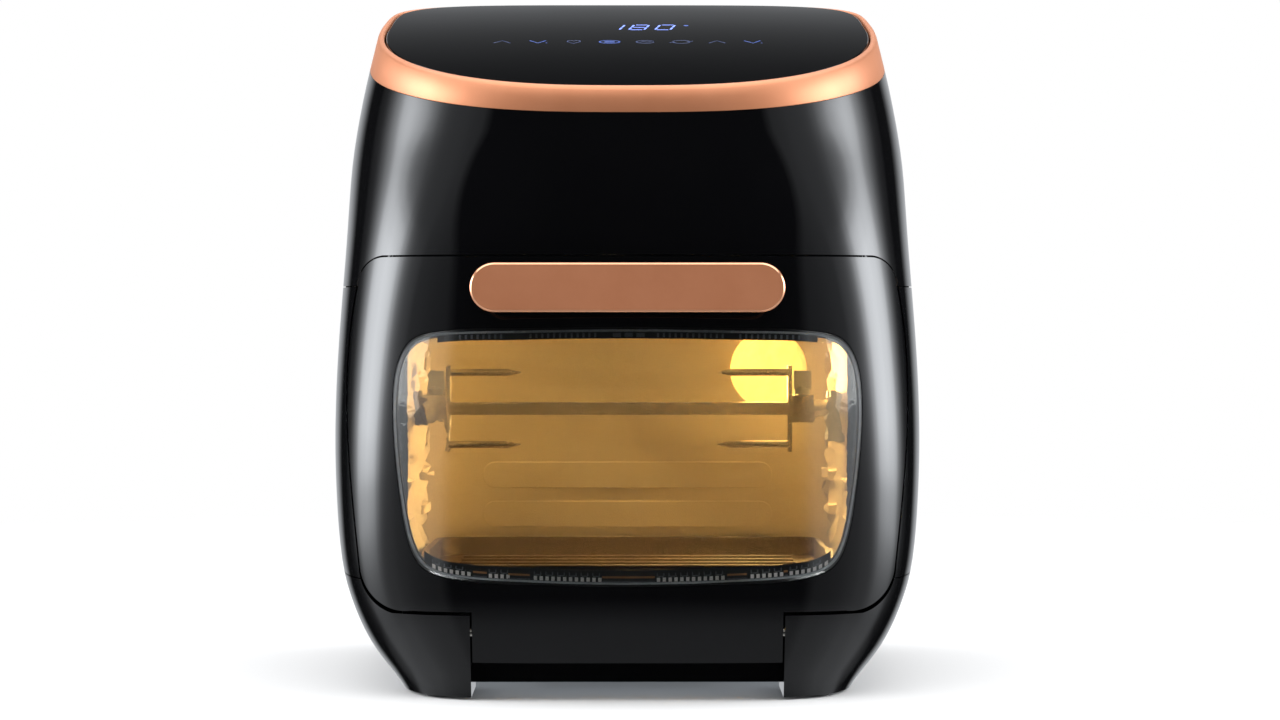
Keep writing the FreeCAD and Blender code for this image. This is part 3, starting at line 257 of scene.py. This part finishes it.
def profile(table, z):
    """Smooth value of a height profile at z."""
    if z <= table[0][0]:
        return table[0][1]
    if z >= table[-1][0]:
        return table[-1][1]
    last = len(table) - 1
    i = max(k for k in range(last) if table[k][0] <= z)
    (z0, v0), (z1, v1) = table[i], table[i + 1]
    before = table[i - 1] if i > 0 else table[i]
    after = table[i + 2] if i + 2 <= last else table[i + 1]
    slope0 = (v1 - before[1]) / (z1 - before[0])
    slope1 = (after[1] - v0) / (after[0] - z0)
    span = z1 - z0
    t = (z - z0) / span
    start = (2 * t ** 3 - 3 * t ** 2 + 1) * v0 + (t ** 3 - 2 * t ** 2 + t) * span * slope0
    end = (3 * t ** 2 - 2 * t ** 3) * v1 + (t ** 3 - t ** 2) * span * slope1
    return start + end


def form_value(x, y, z):
    """Below 1 inside the body form and above 1 outside it."""
    half = profile(HALF_WIDTH, z)
    middle = profile(WIDEST, z)
    if y > middle:
        depth = (y - middle) / (profile(BACK, z) - middle)
        power = BACK_POWER
    else:
        depth = (middle - y) / (middle - profile(FRONT, z))
        half *= 1 - profile(NARROWING, z) * depth * depth
        power = profile(FRONT_POWER, z)
    return (abs(x / half) ** power + depth ** power) ** (1 / power)


def form_normal(point):
    """Outward direction of the body form near a point, and how far outside the form the point is, in mm."""
    x, y, z = (c / MM for c in point)
    step, rise = 0.05, 12.0
    slope = Vector((
        (form_value(x + step, y, z) - form_value(x - step, y, z)) / (2 * step),
        (form_value(x, y + step, z) - form_value(x, y - step, z)) / (2 * step),
        (form_value(x, y, z + rise) - form_value(x, y, z - rise)) / (2 * rise),
    ))
    steep = slope.length
    if steep < 1e-9:
        return Vector((0, 0, 1)), -999.0
    return slope / steep, (form_value(x, y, z) - 1) / steep


def front_depth(x, z, inset):
    """Depth in mm of the front of the form, moved inwards, at a point seen from the front."""
    low, high = profile(FRONT, z) - 5, profile(WIDEST, z)
    for _ in range(40):
        middle = (low + high) / 2
        if form_value(x, middle, z) > 1:
            low = middle
        else:
            high = middle
    normal, _ = form_normal(Vector((x, high, z)) * MM)
    return high + inset / max(0.2, -normal.y)


# ---------------------------------------------------------------- making pieces
def new_piece(name, bm, body, material, stands_for=(), smooth=35.0):
    """Turn a bmesh in metres into a piece that rides on a body."""
    mesh = bpy.data.meshes.new(name)
    bm.to_mesh(mesh)
    bm.free()
    mesh.materials.append(material)
    mesh.shade_smooth()
    mesh.set_sharp_from_angle(angle=math.radians(smooth))
    piece = bpy.data.objects.new(name, mesh)
    bpy.context.scene.collection.objects.link(piece)
    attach(piece, body)
    if stands_for:
        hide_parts(*stands_for)
    return piece


def merged_copy(node):
    """A copy of a node's mesh with its loose triangles joined."""
    bm = bmesh.new()
    bm.from_mesh(NODES[node].data)
    bmesh.ops.remove_doubles(bm, verts=bm.verts, dist=0.005 * MM)
    return bm


def polished_shell(node, name):
    """A shell whose gloss follows the true curve of the body form instead of its facets."""
    bm = merged_copy(node)
    piece = new_piece(name, bm, BODY_OF[node], FINISH_OF[node], (node,))
    mesh = piece.data
    curve = [form_normal(vertex.co) for vertex in mesh.vertices]
    directions = []
    for face in mesh.polygons:
        flat = face.normal.copy()
        for index in face.vertices:
            normal, outside = curve[index]
            towards = normal.dot(flat)
            on_skin = abs(outside) < 0.7 or abs(outside + SKIN) < 0.8
            if on_skin and abs(towards) > 0.85:
                directions.append(normal if towards > 0 else -normal)
            else:
                directions.append(flat)
    mesh.normals_split_custom_set(directions)
    return piece


def softened(node, name, width_mm, segments=2):
    """A copy of a hard-edged node with its edges eased."""
    bm = merged_copy(node)
    bmesh.ops.dissolve_limit(bm, angle_limit=math.radians(1.0), verts=bm.verts, edges=bm.edges,
                             delimit={"NORMAL"})
    piece = new_piece(name, bm, BODY_OF[node], FINISH_OF[node], (node,))
    ease = piece.modifiers.new("eased edges", "BEVEL")
    ease.width = width_mm * MM
    ease.segments = segments
    ease.limit_method = "ANGLE"
    ease.angle_limit = math.radians(38)
    ease.harden_normals = True
    return piece


# ---------------------------------------------------------------- outer shells
SHELLS = {"upper_housing": "upper_housing_shell", "side_panel_left": "left_side_shell",
          "side_panel_right": "right_side_shell", "lower_housing": "base_shell", "door_panel": "door_shell",
          "rear_cover": "rear_shell", "door_window": "door_window_pane"}
for node, name in SHELLS.items():
    polished_shell(node, name)


def slope_height(point, slope, y):
    """Height at depth y of a plane that rises towards the back through a point (y, z)."""
    return point[1] + slope * (y - point[0])


def form_point(angle, inset, line, drop, sinks):
    """Point of the form's outline, moved inwards, where it meets a sloping plane lowered by drop; in metres.

    The angle turns round from the front. With sinks, the band's top dips a little more at the back.
    """
    point, slope = line
    z = slope_height(point, slope, 0.0)
    across, along = math.sin(angle), -math.cos(angle)
    for _ in range(25):
        middle = profile(WIDEST, z)
        half = profile(HALF_WIDTH, z) - inset
        power = BACK_POWER if along > 0 else profile(FRONT_POWER, z)
        reach = (abs(across) ** power + abs(along) ** power) ** (-1 / power)
        if along > 0:
            x = half * reach * across
            y = middle + reach * along * (profile(BACK, z) - inset - middle)
        else:
            taper = 1 - profile(NARROWING, z) * (reach * along) ** 2
            x = half * reach * across * taper
            y = middle + reach * along * (middle - profile(FRONT, z) - inset)
        z = slope_height(point, slope, y) - drop
        if sinks and line is TOP_LINE:
            z -= BAND_SINK * max(0.0, min(1.0, (y - BAND_SINK_FROM) / BAND_SINK_RUN))
    return Vector((x, y, z)) * MM


def outline_loop(bm, inset, line, drop, sinks=False, steps=220):
    """Closed loop of edges round the form on a sloping plane."""
    verts = [bm.verts.new(form_point(2 * math.pi * i / steps, inset, line, drop, sinks)) for i in range(steps)]
    return [bm.edges.new((verts[i], verts[(i + 1) % steps])) for i in range(steps)]


def join_loops(bm, loops, ring):
    """Bridge each loop to the next; a ring closes on itself, and a plug gets a cap at both ends."""
    following = loops[1:] + loops[:1] if ring else loops[1:]
    for first, second in zip(loops, following):
        bmesh.ops.bridge_loops(bm, edges=first + second)
    if not ring:
        for loop in (loops[0], loops[-1]):
            bmesh.ops.contextual_create(bm, geom=loop)
    bmesh.ops.recalc_face_normals(bm, faces=bm.faces)


def trim_band():
    """Rose-gold band with rounded lips and a step down to the glass."""
    bm = bmesh.new()
    rings = [(0.4 - BAND_PROUD, BAND_LINE, -0.15), (-BAND_PROUD, BAND_LINE, -0.7), (-BAND_PROUD, TOP_LINE, 1.9),
             (0.25 - BAND_PROUD, TOP_LINE, 0.8), (0.9 - BAND_PROUD, TOP_LINE, 0.2),
             (1.8 - BAND_PROUD, TOP_LINE, 0.0), (2.3, TOP_LINE, 0.15), (2.8, TOP_LINE, 0.7),
             (3.3, TOP_LINE, 2.0), (BAND_WALL, TOP_LINE, 3.0), (BAND_WALL, BAND_LINE, -0.1)]
    join_loops(bm, [outline_loop(bm, *ring, sinks=True) for ring in rings], ring=True)
    new_piece("rose_gold_band", bm, "chassis", rose_aluminium, ("top_trim_ring",), smooth=50)


def touch_glass():
    """Black touch panel with a polished, slightly rounded rim."""
    bm = bmesh.new()
    edge = BAND_WALL + 0.4
    rings = [(edge + 0.5, TOP_LINE, GLASS_DROP), (edge + 0.15, TOP_LINE, GLASS_DROP + 0.15),
             (edge, TOP_LINE, GLASS_DROP + 0.5), (edge, TOP_LINE, GLASS_DROP + 3.0)]
    join_loops(bm, [outline_loop(bm, *ring) for ring in rings], ring=False)
    new_piece("touch_panel_glass", bm, "chassis", panel_glass, ("control_glass",), smooth=8)


trim_band()
touch_glass()


# ---------------------------------------------------------------- lit marks under the touch glass
def on_slope(lift):
    """Matrix that lays flat work in the XY plane onto the touch glass, lifted by so many mm."""
    tilt = Matrix.Rotation(math.atan(TOP_SLOPE), 4, "X")
    height = slope_height(TOP_FRONT, TOP_SLOPE, 0.0) - GLASS_DROP
    raise_up = Matrix.Translation(Vector((0, 0, height * MM)))
    return raise_up @ tilt @ Matrix.Translation(Vector((0, 0, lift * MM)))


def line_art(name, strokes, width_mm, material):
    """Thin raised lines along open or closed strokes, given in mm on the touch glass."""
    curve = bpy.data.curves.new(name, "CURVE")
    curve.dimensions = "3D"
    curve.bevel_depth = width_mm / 2 * MM
    curve.bevel_resolution = 1
    curve.use_fill_caps = True
    for points, closed in strokes:
        spline = curve.splines.new("POLY")
        spline.points.add(len(points) - 1)
        for target, (x, y) in zip(spline.points, points):
            target.co = (x * MM, y * MM, 0, 1)
        spline.use_cyclic_u = closed
    holder = bpy.data.objects.new(name + "_lines", curve)
    bpy.context.scene.collection.objects.link(holder)
    bpy.context.view_layer.update()
    mesh = bpy.data.meshes.new_from_object(holder.evaluated_get(bpy.context.evaluated_depsgraph_get()))
    bpy.data.objects.remove(holder)
    bm = bmesh.new()
    bm.from_mesh(mesh)
    bpy.data.meshes.remove(mesh)
    bmesh.ops.scale(bm, vec=(1, 1, 0.12), verts=bm.verts)
    bmesh.ops.transform(bm, matrix=on_slope(0.05), verts=bm.verts)
    return new_piece(name, bm, "chassis", material)


DIGIT_TALL = 15.5
DIGIT_WIDE = 8.6
DIGIT_PITCH = 14.8
ONE_PITCH = 14.0
DIGIT_LEAN = 0.2
DIGIT_LEFT = 0.8
DIGIT_FOOT = 40.0
SEGMENT_GAP = 0.12
SEGMENTS = {"a": ((0, 1), (1, 1)), "b": ((1, 1), (1, 0.5)), "c": ((1, 0.5), (1, 0)), "d": ((0, 0), (1, 0)),
            "e": ((0, 0.5), (0, 0)), "f": ((0, 1), (0, 0.5)), "g": ((0, 0.5), (1, 0.5))}


def digit_strokes(lit, x, y):
    """The lit segments of one leaning digit, each drawn a little short of its neighbours."""
    strokes = []
    for key in lit:
        (x0, y0), (x1, y1) = SEGMENTS[key]
        ends = []
        for u, v, other_u, other_v in ((x0, y0, x1, y1), (x1, y1, x0, y0)):
            u += (other_u - u) * SEGMENT_GAP
            v += (other_v - v) * SEGMENT_GAP
            ends.append((x + u * DIGIT_WIDE + v * DIGIT_TALL * DIGIT_LEAN, y + v * DIGIT_TALL))
        strokes.append((ends, False))
    return strokes


def arc(cx, cy, rx, ry, start, end, steps=20):
    """Points of an ellipse's arc between two angles in degrees."""
    angles = [math.radians(start + (end - start) * i / steps) for i in range(steps + 1)]
    return [(cx + rx * math.cos(a), cy + ry * math.sin(a)) for a in angles]


def display():
    """Temperature digits and a small degree mark."""
    strokes = digit_strokes("bc", DIGIT_LEFT - ONE_PITCH, DIGIT_FOOT)
    strokes += digit_strokes("abcdefg", DIGIT_LEFT, DIGIT_FOOT)
    strokes += digit_strokes("abcdef", DIGIT_LEFT + DIGIT_PITCH, DIGIT_FOOT)
    line_art("display_digits", strokes, 1.15, digit_glow)
    line_art("display_dot", [(arc(33.5, 53.5, 0.8, 0.8, 0, 340), True)], 1.2, mark_bright)


TOUCH_KEYS = 8
TOUCH_PITCH = 19.9


def touch_marks():
    """Row of touch keys: arrows up and down, and four cooking marks."""
    y = 1.5
    tall = 3.6
    columns = [(i - (TOUCH_KEYS - 1) / 2) * TOUCH_PITCH for i in range(TOUCH_KEYS)]
    dim, bright = [], []
    for i in (0, 6):
        x = columns[i]
        dim.append(([(x - 4.6, y - tall), (x, y + tall), (x + 4.6, y - tall)], False))
    for i in (1, 7):
        x = columns[i]
        bright.append(([(x - 4.6, y + tall), (x, y - tall), (x + 4.2, y + tall)], False))
        bright.append(([(x + 4.4, y - tall + 0.4), (x + 5.2, y - tall + 0.4)], False))
    x = columns[2]
    dim.append(([(x, y - 5.0), (x - 3.6, y + 0.5), (x - 3.2, y + 3.6), (x - 1.4, y + 4.2), (x, y + 2.4),
                 (x + 1.4, y + 4.2), (x + 3.2, y + 3.6), (x + 3.6, y + 0.5)], True))
    x = columns[3]
    bright.append((arc(x, y, 5.6, 4.6, 0, 342), True))
    bright += [([(x - 2.8, y + lift), (x + 2.8, y + lift)], False) for lift in (-1.6, 0.0, 1.6)]
    x = columns[4]
    dim.append((arc(x, y, 5.0, 4.4, 20, 340), False))
    dim.append(([(x - 3.0, y - 1.0), (x - 1.0, y + 1.2), (x + 1.0, y - 1.0), (x + 3.0, y + 1.2)], False))
    x = columns[5]
    dim.append((arc(x, y, 4.8, 4.6, 15, 165), False))
    dim.append((arc(x, y, 4.8, 4.6, 195, 345), False))
    dim.append(([(x + 3.2, y + 2.4), (x + 4.8, y + 0.6), (x + 6.4, y + 2.6)], False))
    dim.append(([(x - 6.4, y - 2.6), (x - 4.8, y - 0.6), (x - 3.2, y - 2.4)], False))
    line_art("touch_marks_dim", dim, 0.75, mark_glow)
    line_art("touch_marks_bright", bright, 0.8, mark_bright)


display()
touch_marks()


# ---------------------------------------------------------------- handle
def pill_loop(bm, half_wide, half_tall, middle_z, y, steps=28):
    """Closed upright pill outline at depth y, in mm."""
    verts = []
    straight = half_wide - half_tall
    for side, first in ((1, -90), (-1, 90)):
        for i in range(steps + 1):
            angle = math.radians(first + 180 * i / steps)
            x = side * straight + half_tall * math.cos(angle)
            verts.append(bm.verts.new(Vector((x, y, middle_z + half_tall * math.sin(angle))) * MM))
    count = len(verts)
    return [bm.edges.new((verts[i], verts[(i + 1) % count])) for i in range(count)]


def handle_plate():
    """Satin plate with a bright diamond-cut rim."""
    low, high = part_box("handle_plate")
    front, back = low[1] / MM, high[1] / MM
    middle_z = (low[2] + high[2]) / 2 / MM
    half_wide, half_tall = high[0] / MM, (high[2] - low[2]) / 2 / MM
    bm = bmesh.new()
    rings = [(0.0, back), (0.0, front + 1.1), (0.25, front + 0.55), (0.95, front)]
    loops = [pill_loop(bm, half_wide - inset, half_tall - inset, middle_z, y) for inset, y in rings]
    join_loops(bm, loops, ring=False)
    piece = new_piece("handle_cover_plate", bm, "door", rose_aluminium, ("handle_plate",),
                      smooth=28)
    piece.data.materials.append(rose_edge)
    for face in piece.data.polygons:
        middle_y = face.center.y / MM
        if front + 0.02 < middle_y < front + 0.56:
            face.material_index = 1


handle_plate()
softened("handle_body", "handle_grip", 1.0, 3)


# ---------------------------------------------------------------- window edge and its printed comb
def smooth_window(scale_mm, steps_each=10):
    """Points (x, z) of the right half of the window outline from top to bottom, moved by scale_mm."""
    middle = (WINDOW[0][1] + WINDOW[-1][1]) / 2
    tall = WINDOW[0][1] - middle
    wide = max(x for x, _ in WINDOW)
    points = [(-WINDOW[1][0], WINDOW[1][1])] + WINDOW + [(-WINDOW[-2][0], WINDOW[-2][1])]
    result = []
    for i in range(1, len(points) - 2):
        p0, p1, p2, p3 = (Vector(points[i + k]) for k in (-1, 0, 1, 2))
        reach = (p2 - p1).length
        m1 = (p2 - p0) * reach / ((p2 - p1).length + (p1 - p0).length)
        m2 = (p3 - p1) * reach / ((p3 - p2).length + (p2 - p1).length)
        for k in range(steps_each):
            t = k / steps_each
            point = ((2 * t ** 3 - 3 * t ** 2 + 1) * p1 + (t ** 3 - 2 * t ** 2 + t) * m1
                     + (3 * t ** 2 - 2 * t ** 3) * p2 + (t ** 3 - t ** 2) * m2)
            result.append(point)
    result.append(Vector(WINDOW[-1]))
    return [(p.x * (1 + scale_mm / wide), middle + (p.y - middle) * (1 + scale_mm / tall)) for p in result]


def window_loop(bm, scale_mm, inset):
    """Closed loop round the window on the curved front, moved inwards by inset."""
    right = smooth_window(scale_mm)
    left = [(-x, z) for x, z in reversed(right[1:-1])]
    verts = [bm.verts.new(Vector((x, front_depth(x, z, inset), z)) * MM) for x, z in right + left]
    count = len(verts)
    return [bm.edges.new((verts[i], verts[(i + 1) % count])) for i in range(count)]


def window_ring(name, rings, material, stands_for=()):
    """Closed frame round the window, from the loops of its section."""
    bm = bmesh.new()
    join_loops(bm, [window_loop(bm, *ring) for ring in rings], ring=True)
    return new_piece(name, bm, "door", material, stands_for)


# Each section point is how far it lies outside the window's outline, and how deep behind the form.
GROUND_EDGE_SECTION = [(-1.5, 3.05), (-2.4, 3.05), (-2.6, 3.6), (-1.4, 3.6)]
DARK_SEAT_SECTION = [(3.2, 3.7), (-3.4, 3.7), (-3.4, 5.4), (3.2, 5.4)]
window_ring("window_ground_edge", GROUND_EDGE_SECTION, ground_edge)
window_ring("window_dark_seat", DARK_SEAT_SECTION, matte_plastic, ("window_bezel",))


def sill(x, bottom=True):
    """Height in mm of the clear window's lower or upper edge."""
    points = [(px, pz) for px, pz in smooth_window(-2.6) if (pz < 100) == bottom]
    if not bottom:
        points.reverse()
    for (x1, z1), (x0, z0) in zip(points, points[1:]):
        if x0 <= abs(x) <= x1:
            return z0 + (z1 - z0) * (abs(x) - x0) / (x1 - x0)
    return points[-1][1]


def tile(bm, left, right, low, high, bottom=True, inset=3.05):
    """Small flat mark on the window, set out from its lower or upper edge, sizes in mm."""
    corners = [(left, low), (right, low), (right, high), (left, high)]
    verts = []
    for x, up in corners:
        z = sill(x, bottom) + up
        verts.append(bm.verts.new(Vector((x, front_depth(x, z, inset), z)) * MM))
    bm.faces.new(verts)


def thicken(bm, thick_mm):
    """Join marks that meet edge to edge and make them thin closed solids."""
    bmesh.ops.remove_doubles(bm, verts=bm.verts, dist=0.001 * MM)
    bmesh.ops.solidify(bm, geom=bm.faces[:], thickness=thick_mm * MM)
    bmesh.ops.recalc_face_normals(bm, faces=bm.faces)


def places(first, last, pitch):
    """Evenly spaced places along X, in mm."""
    return [first + i * pitch for i in range(int((last - first) / pitch) + 1)]


TOOTH_PITCH = 3.0
COMB_GROUPS = [(-100, -80), (-71, -62), (-48, -14), (15, 49), (63, 79), (83, 103)]
LINE_GROUPS = [(-79, -72), (-61, -50), (-13, 14), (51, 61), (80, 82)]
UPPER_GROUPS = [(-86, -63), (-50, -15), (15, 48), (57, 88)]
PRINT_THICK = 0.1


def edge_print():
    """Small fired-on marks along the window's edges: teeth, cups over them, lines, and a dark ground."""
    teeth, lines, ticks, dark = (bmesh.new() for _ in range(4))
    for first, last in COMB_GROUPS:
        for x in places(first, last, TOOTH_PITCH):
            tile(teeth, x, x + 1.7, 0.2, 2.3)
        for x in places(first, last - TOOTH_PITCH, 2 * TOOTH_PITCH):
            tile(ticks, x, x + 0.5, 3.0, 4.6)
            tile(ticks, x + 3.4, x + 3.9, 3.0, 4.6)
            tile(ticks, x + 0.5, x + 3.4, 2.7, 3.2)
    for first, last in LINE_GROUPS:
        for x in places(first, last - 1, 1.0):
            tile(lines, x, x + 1.0, 2.1, 3.1)
            tile(ticks, x, x + 1.0, 0.3, 0.7)
    for x in places(-104, 103, 1.0):
        tile(dark, x, x + 1.0, 0.0, 6.2, inset=3.3)
    for x in places(-97, 96, 1.0):
        tile(dark, x, x + 1.0, -3.4, 0.0, False, inset=3.3)
    for first, last in UPPER_GROUPS:
        for x in places(first, last, TOOTH_PITCH):
            tile(ticks, x, x + 1.1, -2.7, -0.5, False)
    for x in (-7.5, -1.5, 4.5):
        tile(ticks, x, x + 4.2, -2.6, -0.6, False)
    for print_layer in (teeth, lines, ticks, dark):
        thicken(print_layer, PRINT_THICK)
    new_piece("window_comb_print", teeth, "door", white_print)
    new_piece("window_line_print", lines, "door", bronze_print)
    new_piece("window_tick_print", ticks, "door", grey_print)
    new_piece("window_dark_print", dark, "door", matte_plastic)


def seam_painted_shade():
    """Matte black strips behind the side seams: painted shade in the seam gaps, so that the joints read as dark
    lines.
    """
    bm = bmesh.new()
    for z in SIDE_SEAMS:
        for side in (-1, 1):
            rows = []
            for up in (-3.0, 3.0):
                line = ((0.0, z + up), 0.0)
                rows.append([bm.verts.new(form_point(side * math.radians(turn), 0.35, line, 0.0, False))
                             for turn in range(78, 151, 4)])
            for i in range(len(rows[0]) - 1):
                face = bm.faces.new((rows[0][i], rows[0][i + 1], rows[1][i + 1], rows[1][i]))
                if side < 0:
                    face.normal_flip()
    thicken(bm, PRINT_THICK)
    # These strips are painted shade: a dark sheet where the gaps would only be in shadow.
    new_piece("side_seam_painted_shade", bm, "chassis", matte_plastic)


edge_print()
seam_painted_shade()

# ---------------------------------------------------------------- eased hard parts
EASED = {"door_inner_frame": ("door_inner_rim", 0.6), "front_frame": ("chamber_front_frame", 0.3),
         "cavity_back": ("chamber_back_sheet", 1.2), "cavity_wall_left": ("chamber_left_sheet", 1.3),
         "cavity_wall_right": ("chamber_right_sheet", 1.3), "fork_left": ("left_fork_eased", 0.5),
         "fork_right": ("right_fork_eased", 0.5), "spit_rest": ("spit_rest_bracket", 0.3),
         "drip_tray": ("drip_tray_pressed", 0.4), "thumbscrew_left": ("left_wing_screw", 0.5),
         "thumbscrew_right": ("right_wing_screw", 0.5), "drive_socket": ("spit_drive_socket", 0.5),
         "foot_pads": ("rubber_feet", 0.5), "spit_rod": ("spit_bar", 0.3)}
for node, (name, ease_mm) in EASED.items():
    softened(node, name, ease_mm)


# ---------------------------------------------------------------- floor, light and camera
def area_light(name, place, target, size, power, colour="FFFFFF"):
    """Soft rectangular lamp aimed at a point."""
    data = bpy.data.lights.new(name, "AREA")
    data.shape = "RECTANGLE"
    data.size, data.size_y = size
    data.energy = power
    data.color = hex_colour(colour)[:3]
    lamp = bpy.data.objects.new(name, data)
    lamp.location = place
    lamp.rotation_euler = (Vector(target) - Vector(place)).to_track_quat("-Z", "Y").to_euler()
    bpy.context.scene.collection.objects.link(lamp)
    return lamp


def floor():
    """Pale floor that fades to plain white away from the object."""
    bm = bmesh.new()
    bmesh.ops.create_circle(bm, cap_ends=True, segments=96, radius=9.0)
    mesh = bpy.data.meshes.new("floor")
    bm.to_mesh(mesh)
    bm.free()
    material, tree = blank_material("pale studio floor")
    place = add_node(tree, "ShaderNodeTexCoord")
    reach = add_node(tree, "ShaderNodeVectorMath", {"operation": "LENGTH"}, {0: (place, "Object")})
    fade = add_node(tree, "ShaderNodeMapRange", {1: 0.35, 2: 1.3, 3: 0.0, 4: 1.0}, {0: (reach, "Value")})
    paint = add_node(tree, "ShaderNodeBsdfDiffuse", {"Color": (0.9, 0.9, 0.9, 1.0)})
    white = add_node(tree, "ShaderNodeEmission", {"Color": (1.0, 1.0, 1.0, 1.0), "Strength": 1.0})
    mix = add_node(tree, "ShaderNodeMixShader", {}, {0: (fade, 0), 1: (paint, 0), 2: (white, 0)})
    finish_material(tree, mix)
    mesh.materials.append(material)
    ground = bpy.data.objects.new("floor", mesh)
    ground.visible_glossy = False
    ground.visible_transmission = False
    bpy.context.scene.collection.objects.link(ground)


def math_chain(tree, operation, first, second=None, third=None):
    """A maths node fed by node outputs (pairs) or plain numbers."""
    settings, links = {"operation": operation}, {}
    for index, value in enumerate((first, second, third)):
        if isinstance(value, tuple):
            links[index] = value
        elif value is not None:
            settings[index] = value
    return add_node(tree, "ShaderNodeMath", settings, links), 0


def ramp(tree, value, stops):
    """Brightness read from given stops of (value, brightness)."""
    low, high = stops[0][0], stops[-1][0]
    placed = add_node(tree, "ShaderNodeMapRange", {1: low, 2: high, 3: 0.0, 4: 1.0}, {0: value})
    node = add_node(tree, "ShaderNodeFloatCurve", {}, {"Value": (placed, 0)})
    top = max(level for _, level in stops)
    curve = node.mapping.curves[0]
    for index, (where, level) in enumerate(stops):
        spot = ((where - low) / (high - low), level / top)
        if index < 2:
            curve.points[index].location = spot
        else:
            curve.points.new(*spot)
    for point in curve.points:
        point.handle_type = "AUTO_CLAMPED"
    node.mapping.update()
    return math_chain(tree, "MULTIPLY", (node, 0), top)


def mirror_room(tree):
    """What polished surfaces see: two tall soft strips beside the object, fading towards front and feet."""
    place = add_node(tree, "ShaderNodeTexCoord")
    axes = add_node(tree, "ShaderNodeSeparateXYZ", {}, {0: (place, "Generated")})
    aside = math_chain(tree, "ABSOLUTE", (axes, "X"))
    front = math_chain(tree, "MULTIPLY", (axes, "Y"), -1.0)
    turn = math_chain(tree, "DEGREES", math_chain(tree, "ARCTAN2", aside, front))
    height = math_chain(tree, "DEGREES", math_chain(tree, "ARCSINE", (axes, "Z")))
    strip = ramp(tree, turn, [(66, 0.0), (78, 0.9), (88, 5.5), (98, 10.2), (108, 8.4), (116, 5.4), (123, 1.6),
                              (131, 0.2), (140, 0.0)])
    strip_height = ramp(tree, height, [(-45, 0.0), (-28, 0.03), (-15, 0.12), (-7, 0.42), (-1, 0.85),
                                       (6, 1.0), (14, 1.0), (20, 0.86), (25, 0.42), (29, 0.08), (34, 0.0)])
    lift = math_chain(tree, "MAXIMUM", math_chain(tree, "ADD", height, 5.0), 0.0)
    edge = math_chain(tree, "MULTIPLY_ADD", math_chain(tree, "MULTIPLY", lift, lift), 0.021, 25.0)
    past_edge = math_chain(tree, "SUBTRACT", turn, edge)
    open_side = ramp(tree, past_edge, [(0, 0.0), (6, 1.0)])
    panel = ramp(tree, turn, [(25, 0.14), (45, 0.24), (62, 0.40), (75, 0.50), (110, 0.42), (128, 0.05),
                              (140, 0.0)])
    low_floor = ramp(tree, height, [(-90, 0.38), (-42, 0.28), (-34, 0.15), (-27, 0.0)])
    behind = ramp(tree, turn, [(150, 0.0), (168, 1.0), (180, 1.0)])
    back_window = ramp(tree, height, [(10, 0.6), (24.2, 0.55), (24.9, 0.22), (25.8, 0.03), (26.6, 0.0)])
    overhead = ramp(tree, height, [(36, 0.0), (48, 2.6), (70, 3.0), (90, 1.4)])
    total = math_chain(tree, "MULTIPLY_ADD", strip, strip_height, 0.013)
    total = math_chain(tree, "MULTIPLY_ADD", open_side, panel, total)
    total = math_chain(tree, "MULTIPLY_ADD", behind, back_window, total)
    total = math_chain(tree, "ADD", total, low_floor)
    return math_chain(tree, "ADD", total, overhead)


def studio():
    """White room to the eye; polished surfaces see the soft strips instead, so that black stays black."""
    world = bpy.data.worlds.new("studio")
    bpy.context.scene.world = world
    world.use_nodes = True
    tree = world.node_tree
    tree.nodes.clear()
    path = add_node(tree, "ShaderNodeLightPath")
    dim = add_node(tree, "ShaderNodeBackground", {"Color": (0.93, 0.96, 1.0, 1)},
                   {"Strength": mirror_room(tree)})
    soft = add_node(tree, "ShaderNodeBackground", {"Color": (1, 1, 1, 1), "Strength": 0.75})
    white = add_node(tree, "ShaderNodeBackground", {"Color": (1, 1, 1, 1), "Strength": 1.0})
    lit = add_node(tree, "ShaderNodeMixShader", {}, {0: (path, "Is Diffuse Ray"), 1: (dim, 0), 2: (soft, 0)})
    seen = add_node(tree, "ShaderNodeMixShader", {}, {0: (path, "Is Camera Ray"), 1: (lit, 0), 2: (white, 0)})
    add_node(tree, "ShaderNodeOutputWorld", {}, {"Surface": (seen, 0)})
    for side, name in ((-1, "left"), (1, "right")):
        lamp = area_light(f"{name} side panel", (side * 1.15, -0.2, 0.80), (0, -0.1, 0.25), (1.7, 1.15), 9.0)
        lamp.visible_glossy = False
    lamp = area_light("front top panel", (0, -1.05, 1.75), (0, -0.1, 0.25), (1.6, 0.7), 8.0)
    lamp.visible_glossy = False


def chamber_light():
    """Warm lamp light inside the chamber."""
    low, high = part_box("lamp_lens")
    x, z = (low[0] + high[0]) / 2, (low[2] + high[2]) / 2
    oven_lamp = area_light("oven lamp light", (x, low[1] - 0.004, z), (x - 0.05, -0.2, z - 0.03),
                           (0.035, 0.035), 14.0, "FFC878")
    roof_glow = area_light("chamber glow", (0.0, 0.02, 0.2105), (0.0, 0.04, 0.1), (0.17, 0.14), 18.0, "FFB858")
    roof_glow.visible_glossy = False
    for lamp in (oven_lamp, roof_glow):
        lamp.visible_camera = False
        lamp.visible_transmission = False


def camera():
    """Level view of the front from a little above the handle."""
    data = bpy.data.cameras.new("camera")
    data.sensor_width = 36.0
    data.lens = 85.4
    eye = bpy.data.objects.new("camera", data)
    eye.location = (0.0, -1.689, 0.205)
    eye.rotation_euler = (math.radians(90 - 1.034), 0.0, math.radians(-0.236))
    bpy.context.scene.collection.objects.link(eye)
    bpy.context.scene.camera = eye
    bpy.context.scene.view_settings.view_transform = "Standard"


floor()
studio()
chamber_light()
camera()
